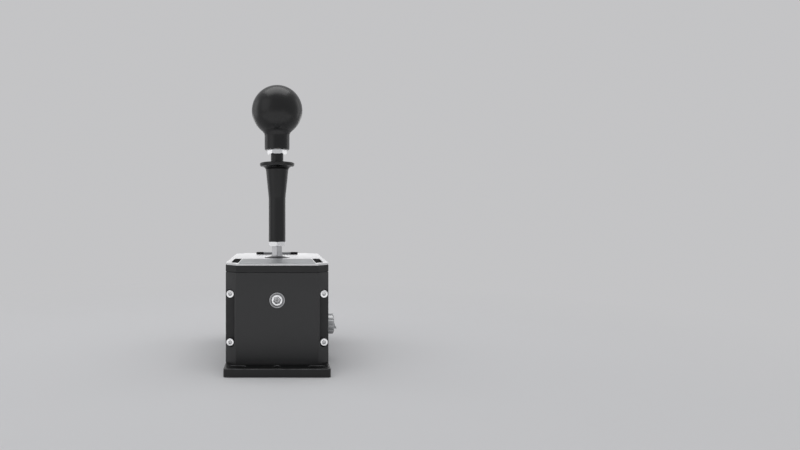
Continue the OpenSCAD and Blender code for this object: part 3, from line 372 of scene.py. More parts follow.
looks = {
    "body_black": dict(colour=(0.017, 0.017, 0.0178), roughness=0.46, spread=0.05, grain=2600, bump=0.12, wear=0.35,
        bare=(0.07, 0.07, 0.073)),
    "cap_black": dict(colour=(0.009, 0.009, 0.0095), roughness=0.46, spread=0.05, specular=0.4, grain=2600,
        bump=0.12, bare=(0.07, 0.07, 0.073)),
    # the base's light edges are partly rubbed wear and partly painted highlight
    "base_black": dict(colour=(0.008, 0.008, 0.0085), roughness=0.38, grain=2400, bump=0.12, tone=0.15, wear=0.6,
        bare=(0.1, 0.1, 0.104)),
    "plate_silver": dict(colour=(0.8, 0.8, 0.81), roughness=0.3, spread=0.05, metallic=1.0, grain=260,
        stretch=(0.12, 14, 14), bump=0.05, tone=0.04, bare=(0.93, 0.93, 0.94), anisotropic=0.4),
    "band_grey": dict(colour=(0.42, 0.43, 0.44), roughness=0.46, spread=0.05, metallic=1.0, grain=2400, bump=0.15,
        tone=0.05, wear=0.3, bare=(0.75, 0.75, 0.76)),
    "strip_dark": dict(colour=(0.008, 0.008, 0.0085), roughness=0.8, spread=0.05, specular=0.03, grain=3000,
        bump=0.1, tone=0.2, wear=0.1),
    "bar_grey": dict(colour=(0.24, 0.245, 0.25), roughness=0.4, metallic=1.0, grain=2400, bump=0.1, tone=0.06,
        wear=0.3),
    # bright steel's darkest colour, used in its socket walls, is painted shade
    "bright_steel": dict(colour=(0.84, 0.84, 0.85), roughness=0.27, metallic=1.0, grain=700, stretch=(1, 1, 6),
        bump=0.05, tone=0.05, bare=(0.95, 0.95, 0.95), shadeColour=(0.03, 0.03, 0.03)),
    "rod_steel": dict(colour=(0.56, 0.56, 0.57), roughness=0.32, spread=0.1, metallic=1.0, grain=260,
        stretch=(3, 3, 0.05), bump=0.2, depth=0.0003, tone=0.35, bare=(0.85, 0.85, 0.85)),
    "socket_floor": dict(colour=(0.55, 0.55, 0.56), roughness=0.42, spread=0.2, metallic=1.0, grain=2600, bump=0.5,
        depth=0.0002, tone=0.45, marks=900, wear=0.6, bare=(0.9, 0.9, 0.9)),
    "dark_steel": dict(colour=(0.045, 0.045, 0.05), roughness=0.4, spread=0.08, metallic=0.7, grain=1500, bump=0.1,
        tone=0.15),
    "ring_steel": dict(colour=(0.36, 0.36, 0.37), roughness=0.34, spread=0.05, metallic=1.0, tone=0.06, wear=0.5,
        bare=(0.8, 0.8, 0.81)),
    "knob_black": dict(colour=(0.006, 0.006, 0.0063), roughness=0.29, spread=0.04, specular=0.38, grain=3200,
        bump=0.1, tone=0.15, wear=0.15, marks=30, bare=(0.05, 0.05, 0.052)),
    "collar_black": dict(colour=(0.008, 0.008, 0.0085), roughness=0.3, spread=0.05, specular=0.38, grain=600,
        stretch=(1, 1, 9), bare=(0.13, 0.13, 0.135)),
    "selector_silver": dict(colour=(0.42, 0.425, 0.43), roughness=0.4, metallic=1.0, grain=600, stretch=(7, 1, 1),
        tone=0.06, wear=0.5, bare=(0.86, 0.86, 0.87)),
    "brass": dict(colour=(0.72, 0.54, 0.25), roughness=0.33, metallic=1.0, tone=0.1, wear=0.3),
    "machined": dict(colour=(0.55, 0.56, 0.58), roughness=0.36, metallic=1.0, grain=500, stretch=(1, 8, 1),
        tone=0.06, wear=0.3),
    "spring_steel": dict(colour=(0.42, 0.43, 0.44), roughness=0.3, spread=0.05, metallic=1.0, bump=0.05, tone=0.08,
        wear=0.2),
    "magnet": dict(colour=(0.45, 0.46, 0.48), roughness=0.22, spread=0.05, metallic=1.0, bump=0.04, tone=0.05,
        wear=0.3),
    "board_green": dict(colour=(0.018, 0.11, 0.05), roughness=0.38, grain=700, bump=0.1, tone=0.2, wear=0.1),
    "switch_black": dict(colour=(0.022, 0.022, 0.025), roughness=0.5, grain=2000, bump=0.1, wear=0.2),
    "socket_black": dict(colour=(0.012, 0.012, 0.013), roughness=0.3, grain=2000, wear=0.2,
        bare=(0.05, 0.05, 0.05)),
    "contact_gold": dict(colour=(0.9, 0.66, 0.28), roughness=0.22, spread=0.05, metallic=1.0, bump=0.03, tone=0.08,
        wear=0.2),
}
finishes = {name: makeFinish(name, look) for name, look in looks.items()}
for part in frame["record"]["subparts"]:  # nodes that stay as they are take their slot's finish
    node = frame["nodes"][part["node"]]
    node.data.materials.clear()
    node.data.materials.append(finishes[part["material_slot"]])
print("finishes made,", len(finishes))


# Body

body = dict(wide=95.0, long=165.0, chamfer=10.0, panel=13.0, wallLow=7.7, wallHigh=90.9, edge=0.35, topEdge=0.3,
            corner=0.7)
halfWide, halfLong = body["wide"] / 2, body["long"] / 2


# outline of the body seen from above, with its four corners cut off
def bodyOutline(margin=0.0):
    x, y = halfWide - margin, halfLong - margin
    c = body["chamfer"] - margin * (2 - math.sqrt(2))
    half = np.array([[x - c, -y], [x, c - y], [x, y - c], [x - c, y]])
    return roundedLoop(np.concatenate([half, -half]), body["corner"], 4)


# one of these amounts darkens the top face with painted shade
base = dict(lip=16.0, high=7.7, radius=2.5, slot=(14.5, 5.6), slotX=35.7, slotOut=6.5, hole=6.0, topEdge=0.6,
            lowEdge=0.4, paintedShade=0.5, screws=(43.0, 51.5, 3.06, 2.2), posts=(16.0, 13.0, 3.0, 2.4), sunk=6.0)


def makeBase():
    end = halfLong + base["lip"]
    outer = roundedLoop(boxLoop(-halfWide, -end, halfWide, end), base["radius"], 8)
    row = halfLong + base["slotOut"]
    places = [(-1, -1), (1, -1), (1, 1), (-1, 1)]
    holes = [slotLoop(*base["slot"], i * base["slotX"], j * row) for i, j in places]
    holes += [circleLoop(base["hole"] / 2, 48, 0, j * row) for j in (-1, 1)]
    bores = [base["screws"], base["posts"]]  # across, along, radius and floor of each
    holes += [circleLoop(r, 48, i * x, j * y) for x, y, r, floor in bores for i, j in places]
    patches = slabPatches(outer, holes, 0.0, base["high"], base["topEdge"], base["lowEdge"], flatUp)
    points, faces, wearAndShade = patches[-2]
    patches[-2] = points, faces, wearAndShade - base["paintedShade"]  # top face, darkened with painted shade standing in for a dark reflection
    for x, y, r, floor in bores:  # plugs that give the counterbores their floors
        for i, j in places:
            disc = circleLoop(r - 0.01, 32, i * x, j * y)
            patches += slabPatches(disc, [], floor, base["sunk"], crisp, crisp, flatUp)
    buildPiece("basePlate", patches, "housing", "base_plate", "base_black")


# two of these amounts darken the pocket's walls and floor with painted shade
pocket = dict(x=43.0, low=26.7, high=71.0, radius=4.3, floor=9.5, edge=0.3, paintedShade=0.25, shade=0.6)


# clipped slot of the screw pocket as seen from the front, cut off where its floor meets the chamfer
def pocketLoop(steps=20):
    x, r = pocket["x"], pocket["radius"]
    stop = math.acos((halfWide - body["chamfer"] + pocket["floor"] - x) / r)
    t = np.concatenate([np.linspace(np.pi, 2 * np.pi - stop, steps), np.linspace(stop, np.pi, steps)])
    z = np.repeat([pocket["low"], pocket["high"]], steps)
    return np.stack([x + r * np.cos(t), z + r * np.sin(t)], -1)


# rows of the pocket in one chamfer, from its soft rim down to its floor, each point given as its place across,
# its height and its distance behind the face; sign picks the side
def pocketRows(mouth, sign):
    depth = mouth[:, 0] - halfWide + body["chamfer"]
    soft = pocket["edge"] * np.clip((pocket["floor"] - depth) / 1.2, 0, 1)
    rim = mouth + (insetLoop(mouth, -1.0) - mouth) * soft[:, None]
    rimDepth = rim[:, 0] - halfWide + body["chamfer"]
    mid = 0.7 * mouth + 0.3 * rim
    floor = np.full(len(mouth), pocket["floor"])
    rows = [(rim, rimDepth), (mid, 0.7 * depth + 0.3 * rimDepth + 0.3 * soft),
            (mouth, np.minimum(depth + soft, floor)), (mouth, floor)]
    return [np.column_stack([sign * q[:, 0], q[:, 1], d]) for q, d in rows]


# front or rear panel: flat faces along its outline, with pockets sunk into the two chamfers
def panelPatches(turn, hole, holeDepth):
    x, c, e, t = halfWide, body["chamfer"], body["edge"], body["topEdge"]
    low, high, thick = body["wallLow"], body["wallHigh"], body["panel"]
    k = e * math.sqrt(0.5)
    half = np.array([[x - c - e, 0], [x - c + k, k], [x - k, c - k], [x, c + e], [x, thick]])
    path = np.concatenate([half[::-1] * [-1, 1], half])  # from the left rear edge round to the right one
    normal = np.array([[1, 0], [1, 0], [0.7, 0.7], [0.4, 0.9], [0, 1]])
    inner = path + np.concatenate([normal, normal[::-1] * [-1, 1]]) * t
    inner[[0, -1], 1] = thick
    put = lambda across, height, depth: turn()(across, height, halfLong - depth)
    level = lambda q, z: put(q[:, 0], z, q[:, 1])
    sunk = lambda q, depth: put(*q.T, depth)
    # top edge, top, bottom and back
    patches = [sweepPatch([level(path, high - t), level(inner, high)], [1.0], wrap=False),
               capPatch([inner], level, high), capPatch([path], level, low)]
    back = np.array([[-x, low], [x, low], [x, high - t], [inner[-1, 0], high], [inner[0, 0], high], [-x, high - t]])
    patches.append((sunk(back, thick), np.array([[0, 1, 2, 5], [5, 2, 3, 4]]), np.zeros(2)))
    # faces along the outline
    for i, (a, b) in enumerate(zip(path[:-1], path[1:])):
        span = np.linalg.norm(b - a)
        face = lambda q, a=a, step=(b - a) / span: put(a[0] + step[0] * q[:, 0], q[:, 1], a[1] + step[1] * q[:, 0])
        loops = [boxLoop(0, low, span, high - t)]
        if i == 4:  # the front face
            loops.append(insetLoop(hole, -e) - [a[0], 0])
            rows = [sunk(insetLoop(hole, q - e), e - d) for q, d in zip(np.linspace(0, e, 4), edgeRound(e)[1])]
            patches += [sweepPatch(rows + [sunk(hole, holeDepth)], [1.0] * 3 + [0.0]),
                        capPatch([hole], sunk, holeDepth)]
        if i in (2, 6):  # the chamfers
            mouth = pocketLoop()
            rows = pocketRows(mouth, -1 if i == 2 else 1)
            # painted shade on the pocket walls and floor, darkened as if in shadow
            patches.append(sweepPatch([put(*r.T) for r in rows], [1.0, 1.0, -pocket["shade"]]))
            patches.append(capPatch([mouth], lambda q, r=rows[-1]: put(*r.T), wearAndShade=-pocket["paintedShade"]))
            along = np.abs(rows[0][:, 0] - a[0]) / np.abs(b[0] - a[0]) * span
            loops.append(np.column_stack([along, rows[0][:, 1]]))
        patches.append(capPatch(loops, face))
    return patches


adjuster = dict(z=66.0, bore=13.7, boreDeep=10.0, ring=13.6, ringIn=11.4, flange=14.0, step=12.3, mouth=10.8,
                proud=0.6, guide=9.4, deep=10.95, cup=8.0, lip=1.8, clip=(11.3, 10.4, 2.4, 3.0), face=10.2,
                sunk=0.1, head=(11.3, 7.9, 3.05), thread=8.0, end=36.25, socket=6.0, socketDeep=2.75, turn=-17.5,
                punch=(1.25, 0.22, 8))
inlet = dict(z=30.0, wide=9.8, high=7.0, wall=1.6, gap=0.2, back=64.1, mouth=82.9, deep=12.4, window=11.0,
             joint=0.03, shelf=(1.6, 1.0, 3.0), contacts=8, pitch=1.02, wire=0.22)


def makePanels():
    bore = circleLoop(adjuster["bore"] / 2, 72, 0, adjuster["z"])
    around, z = inlet["wall"] + inlet["gap"], inlet["z"]
    w, h = inlet["wide"] / 2 + around, inlet["high"] / 2 + around
    window = roundedLoop(boxLoop(-w, z - h, w, z + h), 0.5, 4)
    for name, turn, hole, deep, node in [
            ("frontPanel", turnFront, bore, adjuster["boreDeep"], "front_panel"),
            ("rearPanel", turnBack, window, inlet["window"], "rear_panel")]:
        buildPiece(name, panelPatches(turn, hole, deep), "housing", node, "body_black")


sides = dict(reach=69.5, edge=0.3, inner=38.5, outer=47.5, bush=(-29.0, 35.6, 5.06))


def makeSides():
    outer = boxLoop(-sides["reach"], body["wallLow"], sides["reach"], body["wallHigh"])
    y, z, r = sides["bush"]
    for name, place, holes, node in [
            ("leftSide", flatLeft, [], "left_side_plate"),
            ("rightSide", flatRight, [circleLoop(r, 48, y, z)], "right_side_plate")]:
        patches = slabPatches(outer, holes, sides["inner"], sides["outer"], sides["edge"], 0.05, place)
        buildPiece(name, patches, "housing", node, "body_black")


cap = dict(low=90.9, seam=0.5, step=1.0, rim=97.4, deck=96.4, edge=0.35, pivot=66.0, sphere=35.9, near=20.0,
           room=0.02)


# round cut over the dome at a height
def domeLoop(z):
    return circleLoop(math.sqrt(cap["sphere"] ** 2 - (z - cap["pivot"]) ** 2), 96)


# pushes points near the axis out to just past that cut at their own height
def clearDome(points):
    r = np.hypot(points[:, 0], points[:, 1])
    least = np.sqrt(np.maximum(cap["sphere"] ** 2 - (points[:, 2] - cap["pivot"]) ** 2, 0)) + cap["room"]
    grow = np.where(r < cap["near"], np.maximum(r, least) / np.maximum(r, 1e-9), 1.0)
    return points * np.column_stack([grow, grow, np.ones(len(r))])


def makeCap():
    s, low, rim, deck = cap["step"], cap["low"], cap["rim"], cap["deck"]
    foot = low + cap["seam"]
    inTop, downTop = edgeRound(cap["edge"])
    level = lambda inset, z: flatUp(bodyOutline(inset), z)
    rows = [level(s, low), level(s, foot)]
    rows += [level(i, foot + d) for i, d in zip(inTop[::-1], downTop[::-1])]
    rows += [level(i, rim - d) for i, d in zip(inTop, downTop)]
    rows += [level(s, rim), level(s, deck)]
    patches = [sweepPatch(rows, [0, 0] + [1] * 3 + [0] + [1] * 3 + [0, 0]),
               sweepPatch([flatUp(domeLoop(z), z) for z in np.linspace(low, deck, 5)])]
    patches += [capPatch([bodyOutline(s), domeLoop(z)], flatUp, z) for z in (low, deck)]
    buildPiece("topCap", patches, "housing", "top_cap", "body_black", "cap_black")


plate = dict(low=96.4, lip=98.4, lipEdge=0.12, top=99.4, inlay=0.6, tongue=1.05, edge=0.22, bandX=35.0,
             bandD=64.0, bandEdge=0.2, stripX=35.8, stripW=7.2, stripBack=65.0, stripL=59.0, stripEdge=0.12, gap=0.1,
             slot=(48.0, 8.0), slotY=64.5, slotDeep=1.6, bar=(31.0, 7.8), barRise=2.2, barEdge=0.4)


# left dark strip, its front end parallel to the body's chamfer
def stripLoop(margin=0.0):
    back = -halfLong + plate["stripBack"]
    front = back - plate["stripL"]
    x1, x0 = -plate["stripX"], -plate["stripX"] - plate["stripW"]
    loop = np.array([[x0, back], [x0, front + plate["stripW"]], [x1, front], [x1, back]])
    return insetLoop(loop, margin)


# a loop and its mirror image
def bothSides(loop):
    return [loop, loop[::-1] * [-1, 1]]


def makePlate():
    front, top = -halfLong, plate["top"]
    floor, slotFloor = top - plate["inlay"], top - plate["slotDeep"]
    slot = slotLoop(*plate["slot"], 0, plate["slotY"])
    # lower part: tongue and lip, with the dome's cut and the rear slot
    e, lip, bottom = plate["lipEdge"], plate["lip"], plate["low"]
    tongue, rim = bodyOutline(plate["tongue"]), bodyOutline(0)
    rows = [flatUp(tongue, bottom), flatUp(tongue, lip), flatUp(bodyOutline(e), lip), flatUp(rim, lip + e),
            flatUp(rim, floor)]
    patches = [sweepPatch(rows, [0, 0, 1, 0]),
               sweepPatch([flatUp(domeLoop(z), z) for z in np.linspace(bottom, floor, 4)]),
               capPatch([tongue, domeLoop(bottom)], flatUp, bottom),
               capPatch([rim, domeLoop(floor), slot], flatUp, floor),
               sweepPatch([flatUp(slot, floor), flatUp(slot, slotFloor)]), capPatch([slot], flatUp, slotFloor)]
    # upper part: the sheet round the inlays, open at the front for the band
    x, back = plate["bandX"], front + plate["bandD"]
    start = np.argmax((rim[:, 1] < front + 0.001) & (rim[:, 0] > 0))
    ring = np.roll(rim, -start, 0)
    left = np.argmax((ring[:, 1] < front + 0.001) & (ring[:, 0] < 0))
    notch = np.array([[-x, front], [-x, back], [x, back], [x, front]])
    sheet = np.concatenate([ring[:left + 5], notch])
    holes = [domeLoop(top), slot] + bothSides(stripLoop())
    upper = slabPatches(sheet, holes, floor, top, plate["edge"], crisp, flatUp)
    patches += [(clearDome(p), f, w) for p, f, w in upper]
    buildPiece("topPlate", patches, "housing", "top_plate", "plate_silver")
    g, middle, (w, d) = plate["gap"], plate["slotY"], np.array(plate["bar"]) / 2
    band = boxLoop(-x + g, front, x - g, back - g)
    bar = boxLoop(-w, middle - d, w, middle + d)
    # end blocks: the rest of the slot on either side of the bar, round at the far end
    far = (plate["slot"][0] - plate["slot"][1]) / 2
    t = np.linspace(-np.pi / 2, np.pi / 2, 25)
    block = np.stack([far + d * np.cos(t), middle + d * np.sin(t)], -1)
    block = np.concatenate([[[w + g, middle - d]], block, [[w + g, middle + d]]])
    strips, ends, barTop = bothSides(stripLoop(g)), bothSides(block), top + plate["barRise"]
    for name, loops, low, high, edge, node, kind in [
            ("frontBand", [band], floor, top, plate["bandEdge"], "front_band", "band_grey"),
            ("sideStrips", strips, floor, top, plate["stripEdge"], "side_strips", "strip_dark"),
            ("rearBar", [bar], slotFloor, barTop, plate["barEdge"], "rear_bar", "bar_grey"),
            ("barEnds", ends, slotFloor, barTop, plate["barEdge"], "bar_ends", "strip_dark")]:
        patches = sum([slabPatches(loop, [], low, high, edge, crisp, flatUp) for loop in loops], [])
        buildPiece(name, patches, "housing", node, kind)


makeBase()
makePanels()
makeSides()
makeCap()
makePlate()
print("body made")


# Screws and adjuster

screw = dict(head=7.0, high=4.0, key=3.0, keyDeep=2.0, shank=4.0, bite=13.5, edge=0.45, teeth=40, tooth=0.07)


# socket screw: knurled head, hexagon socket with a cone at its foot, plain shank
def screwPatch(place, steps=240):
    r = screw["head"] / 2
    knurl = r - screw["tooth"] * (0.5 - 0.5 * np.cos(screw["teeth"] * angles(steps)))
    key = hexRadius(steps, screw["key"])
    top, edge, shank, bite = screw["high"], screw["edge"], screw["shank"] / 2, -screw["bite"]
    floor = top - screw["keyDeep"]
    rows = [(0, bite), (shank, bite), (shank, 0), (r - 0.15, 0), (knurl, 0.15), (knurl, top - edge - 0.25),
            (r, top - edge - 0.05)]
    rows += [(r - i, top - d) for i, d in zip(*edgeRound(edge, 4))]
    rows += [(key + 0.18, top), (key, top - 0.16), (key, floor), (0.0, floor - 0.5)]
    wearAndShade = np.zeros(len(rows) - 1)
    wearAndShade[7:12] = 1
    # painted shade in the socket: its chamfer and walls fully, its cone floor a little
    wearAndShade[-3:-1] = -1
    wearAndShade[-1] = -0.35
    return turnedPatch(rows, place, steps, wearAndShade)


def makeScrews():
    floor = halfLong - pocket["floor"]
    for name, node, turn, y in [("frontScrews", "front_screws", turnFront, -floor),
                                ("rearScrews", "rear_screws", turnBack, floor)]:
        heads = [screwPatch(turn(i * pocket["x"], y, z)) for i in (-1, 1) for z in (pocket["low"], pocket["high"])]
        buildPiece(name, heads, "housing", node, "bright_steel")


# ring: flange on the panel, a thin groove in its face, then a slope down to the mouth; groove, slope and mouth carry
# painted shade
def makeAdjuster():
    place = turnFront(0, -halfLong, adjuster["z"])
    a, b, f, s, m, g = (adjuster[size] / 2 for size in ("ring", "ringIn", "flange", "step", "mouth", "guide"))
    top, deep, cup, lip = adjuster["proud"], -adjuster["deep"], -adjuster["cup"], -adjuster["lip"]
    path, wearAndShade = softPath(
        [[g, deep], [a, deep], [a, 0.04], [f, 0.04], [f, top], [s, top], [s - 0.04, top - 0.4], [s - 0.18, top - 0.4],
         [s - 0.22, top - 0.18], [m, top - 0.4], [m, lip], [b, lip], [b, cup], [g, cup], [g, deep]],
        [0.1, 0.02, 0.02, 0.2, 0.1, 0.02, 0.02, 0.05, 0.08, 0.1, 0.05, 0.05, 0.1])
    r, z = (path[1:] + path[:-1]).T / 2
    # painted shade in the groove, on the slope and down the mouth
    wearAndShade = np.where((r < s) & (r > s - 0.2) & (z < top - 0.12), -1.0, wearAndShade)
    wearAndShade = np.where((r < s - 0.22) & (z > -0.2), -0.3, np.where((r < m + 0.05) & (z < top - 0.5), -1.0, wearAndShade))
    ring = turnedPatch(path, place, 96, wearAndShade)
    buildPiece("adjusterRing", [ring], "housing", "adjuster_ring", "ring_steel")
    wide, narrow, high, low = np.array(adjuster["clip"]) * [0.5, 0.5, -1, -1]
    path = softPath([[narrow, low], [wide, low], [wide, high], [narrow, high], [narrow, low]], [0.05, 0.12, 0.12])[0]
    # painted shade: the clip, deep in the bore, is darkened all over
    clip = turnedPatch(path, place, 96, -0.8)
    buildPiece("adjusterClip", [clip], "housing", "adjuster_clip", "spring_steel")
    # screw: bright face with a hexagon socket, its floor rough with a star-shaped punch mark
    steps = 144
    r, thread, end = adjuster["face"] / 2, adjuster["thread"] / 2, -adjuster["end"]
    head, low, high = adjuster["head"]
    key = hexRadius(steps, adjuster["socket"], math.radians(adjuster["turn"]))
    face, floor = -adjuster["sunk"], -adjuster["socketDeep"]
    rows = [(0, end), (thread, end), (thread, -low), (head / 2, -low), (head / 2, -high), (r, -high)]
    rows += [(r - i, face - d) for i, d in zip(*edgeRound(0.45, 4))]
    rows += [(key + 0.35, face), (key + 0.12, face - 0.08), (key, face - 0.3), (key, floor + 0.15),
             (key * 0.9, floor), (0.0, floor)]
    wearAndShade = np.zeros(len(rows) - 1)
    wearAndShade[6:10] = 1
    # painted shade on the socket's chamfer and walls
    wearAndShade[12:] = [-1, -1, -1, 0]
    middle, wave, points = adjuster["punch"]
    star = middle + wave * np.cos(points * angles(steps))
    mark = [(0.0, 0.01), (key * 0.93, 0.01), (key * 0.9, 0.15), (star + 0.25, 0.25), (star, 0.2),
            (star * 0.62, 0.01), (0.45, 0.05), (0.0, 0.13)]
    mark = [(radius, floor + rise) for radius, rise in mark]
    # painted shade in the punch mark's hollows, with a rubbed rise at its middle
    patch = turnedPatch(mark, place, steps, [0, -0.4, 0, -0.2, -0.9, -0.5, 0.6])
    buildPiece("socketFloor", [patch], "adjuster", None, "bright_steel", "socket_floor")
    buildPiece("adjusterScrew", [turnedPatch(rows, place, steps, wearAndShade)], "adjuster", "adjuster_screw", "bright_steel")


makeScrews()
makeAdjuster()
print("screws and adjuster made")


# Lever

lever = dict(rod=10.0, bore=5.05, rodLow=70.2, rodEnd=232.24, hexLow=100.84, hexHigh=111.74, flats=10.4, foot=6.1,
             footHigh=1.1, dome=35.4, domeWall=2.0, domeAngle=35.0, pivot=66.0, hub=14.0, hubLow=77.0, spot=6.25)
thinNut = dict(flats=17.0, high=4.4, low=111.74, turn=0.0, trim=0.4)
jamNut = dict(flats=18.0, high=4.6, low=207.64, turn=math.pi / 6, trim=0.5)
shaft = dict(wide=13.3, low=174.34, high=207.64)


# hexagon nut: each radius is the smaller of the hexagon's side and a cone that trims its corners
def nutPatch(nut, bore, steps=180):
    side = hexRadius(steps, nut["flats"], nut["turn"])
    corner = nut["flats"] / 2 / math.cos(math.pi / 6)
    side = np.minimum(side, corner - 0.12)
    h = nut["high"]
    rise = np.linspace(0, nut["trim"], 9)
    cone = corner - 0.12 + (rise - nut["trim"]) * math.sqrt(3)
    rows = [(bore + 0.3, 0.0)]
    rows += [(np.minimum(side, c), z) for c, z in zip(cone, rise)]
    rows += [(np.minimum(side, c), h - z) for c, z in zip(cone[::-1], rise[::-1])]
    rows += [(bore + 0.3, h), (bore, h - 0.3), (bore, 0.3), (bore + 0.3, 0.0)]
    wearAndShade = np.zeros(len(rows) - 1)
    wearAndShade[1:5] = 0.7
    wearAndShade[14:18] = 0.7
    return turnedPatch(rows, turnUp(0, 0, nut["low"]), steps, wearAndShade)


# rod: round end, round foot, hexagon with trimmed corners, then the long round rod up into the knob
def makeRod():
    steps = 180
    side = np.minimum(hexRadius(steps, lever["flats"]), lever["flats"] / 2 / math.cos(math.pi / 6) - 0.18)
    r, bore, trim = lever["rod"] / 2, lever["bore"], lever["flats"] / 2 * 1.02
    start, end, sole, high = lever["rodLow"], lever["rodEnd"], lever["hexLow"], lever["hexHigh"]
    foot, low = lever["foot"], sole + lever["footHigh"]
    small, mid = np.minimum(side, trim), np.minimum(side, trim + 0.35)
    rows = [(0, start), (r, start), (r, sole), (foot - 0.2, sole), (foot, sole + 0.2), (foot, low - 0.2),
            (foot - 0.2, low), (small, low), (mid, low + 0.2), (side, low + 0.55), (side, high - 0.55),
            (mid, high - 0.2), (small, high), (r, high), (r, end), (0, end)]
    buildPiece("leverRod", [turnedPatch(rows, turnUp(), steps)], "lever", "lever_rod", "bright_steel", "rod_steel")
    for name, node, nut in [("thinNut", "thin_nut", thinNut), ("jamNut", "jam_nut", jamNut)]:
        buildPiece(name, [nutPatch(nut, bore)], "lever", node, "bright_steel", sharp=25)
    wide, low, high = shaft["wide"] / 2, shaft["low"], shaft["high"]
    path, wearAndShade = softPath([[bore, low], [wide, low], [wide, high], [bore, high], [bore, low]], [0.3, 0.5, 0.1])
    buildPiece("upperShaft", [turnedPatch(path, turnUp(), 96, wearAndShade)], "lever", "upper_shaft", "collar_black")


# dome: two arcs about the pivot joined by a round rim, over a hub
def makeDome():
    outer, w, p, bore = lever["dome"], lever["domeWall"], lever["pivot"], lever["bore"]
    inner, edge = outer - w, math.radians(lever["domeAngle"])
    hub, low, spotArc = lever["hub"] / 2, lever["hubLow"], math.asin(lever["spot"] / outer)
    down = np.linspace(math.asin(hub / inner), edge - 0.02, 20)
    up = np.linspace(edge - 0.012, spotArc, 40)
    lip = np.linspace(0.15, 0.85, 5)
    reach = np.concatenate([np.full(len(down), inner), inner + w * lip, np.full(len(up), outer)])
    arc = np.concatenate([down, edge - 0.02 + 0.02 * np.sin(np.pi * lip), up])
    spot = p + outer * math.cos(spotArc) - 0.1  # flat where the rod's foot stands
    rows = [(bore, low), (hub, low)]
    rows += list(zip(reach * np.sin(arc), p + reach * np.cos(arc)))
    rows += [(lever["spot"] - 0.12, spot), (bore, spot), (bore, low)]
    buildPiece("dustDome", [turnedPatch(rows, turnUp(), 96)], "lever", "dust_dome", "dark_steel", sharp=40)


knob = dict(low=212.24, up=41.0, ball=53.0, neck=26.2, neckHigh=13.2, insert=18.1, insertHigh=22.0, edge=0.9)


# ball on a neck, joined by a hollow curve that touches both
def makeKnob():
    r, n, up, h = knob["ball"] / 2, knob["neck"] / 2, knob["up"], knob["neckHigh"]
    rise = up - h
    blend = (rise ** 2 + n ** 2 - r ** 2) / (2 * (r - n))
    x = n + blend
    curve = np.linspace(math.pi, math.atan2(rise, -x), 16)  # ends on the line between the two middles
    ball = np.linspace(math.atan2(-rise, x), math.pi / 2, 72)
    e, bore, deep = knob["edge"], knob["insert"] / 2, knob["insertHigh"]
    foot = np.linspace(-math.pi / 2, 0, 6)
    rows = [(0, deep), (bore, deep), (bore, 0.4), (bore + 0.4, 0.0)]
    rows += [(n - e + e * math.cos(a), e + e * math.sin(a)) for a in foot]
    rows += [(x + blend * math.cos(a), h + blend * math.sin(a)) for a in curve]
    rows += [(max(r * math.cos(a), 0.0), up + r * math.sin(a)) for a in ball[1:]]
    wearAndShade = np.zeros(len(rows) - 1)
    wearAndShade[4:9] = 1
    buildPiece("knob", [turnedPatch(rows, turnUp(0, 0, knob["low"]), 128, wearAndShade)], "lever", "knob", "knob_black")


collar = dict(low=116.24, long=82.6, foot=17.8, straight=45.3, taper=23.9, flange=36.6, rim=4.0, flare=8.3,
              bores=[(5.3, 5.05), (42.3, 7.3), (49.8, 5.3), (66.0, 7.0), (82.6, 6.7)])  # top and radius of each step
grub = dict(up=46.3, tip=0.5, thread=1.45, step=5.5, head=2.0, edge=0.25, proud=0.4, key=2.0, keyDeep=1.4)


# sleeve: straight foot, long taper, hollow flare under a round rim, stepped bore inside
def makeCollar():
    long, rim = collar["long"], collar["rim"] / 2
    f, k, w = collar["foot"] / 2, collar["taper"] / 2, collar["flange"] / 2
    flareZ = long - collar["flare"]
    flareW, flareH = w - rim - k, collar["flare"] - collar["rim"]
    bores = collar["bores"]
    least, mouth = bores[0][1], bores[-1][1]
    outside, wearAndShade = softPath([[least + 0.35, 0], [f, 0], [f, collar["straight"]], [k, flareZ]], [0.6, 40.0], 6)
    hollow = np.linspace(math.pi, math.pi / 2, 8)[1:]
    flare = np.stack([k + flareW + flareW * np.cos(hollow), flareZ + flareH * np.sin(hollow)], -1)
    nose = np.linspace(-math.pi / 2, math.pi / 2, 14)
    lip = np.stack([w - rim + rim * np.cos(nose), long - rim + rim * np.sin(nose)], -1)
    rows = np.concatenate([outside, flare, lip]).tolist()
    rows += [(mouth + 0.4, long), (mouth, long - 0.4)]
    wearAndShade = np.concatenate([wearAndShade, np.zeros(len(rows) - 1 - len(wearAndShade))])
    wearAndShade[-2:] = 1
    wearAndShade[len(outside):len(outside) + 6] = -0.9  # painted shade in the hollow under the rim
    inside = []
    for (_, r), (top, below) in zip(bores[:0:-1], bores[-2::-1]):  # down through the steps
        inside += [(r, top), (below, top)]
    inside += [(least, 0.35), (least + 0.35, 0.0)]
    rows += inside
    wearAndShade = np.concatenate([wearAndShade, np.zeros(len(inside))])
    patch = turnedPatch(rows, turnUp(0, 0, collar["low"]), 112, wearAndShade)
    buildPiece("liftCollar", [patch], "collar", "lift_collar", "collar_black")
    thread, head, tip, step = grub["thread"], grub["head"], grub["tip"], grub["step"]
    key, face, edge = hexRadius(72, grub["key"]), f + grub["proud"], grub["edge"]
    floor = face - grub["keyDeep"]
    rows = [(0, tip), (thread, tip), (thread, step), (head, step), (head, face - edge), (head - edge, face),
            (key + 0.1, face), (key, face - 0.1), (key, floor), (0, floor - 0.3)]
    patch = turnedPatch(rows, turnRight(0, 0, collar["low"] + grub["up"]), 72)
    buildPiece("collarGrub", [patch], "collar", "collar_grub", "bright_steel")


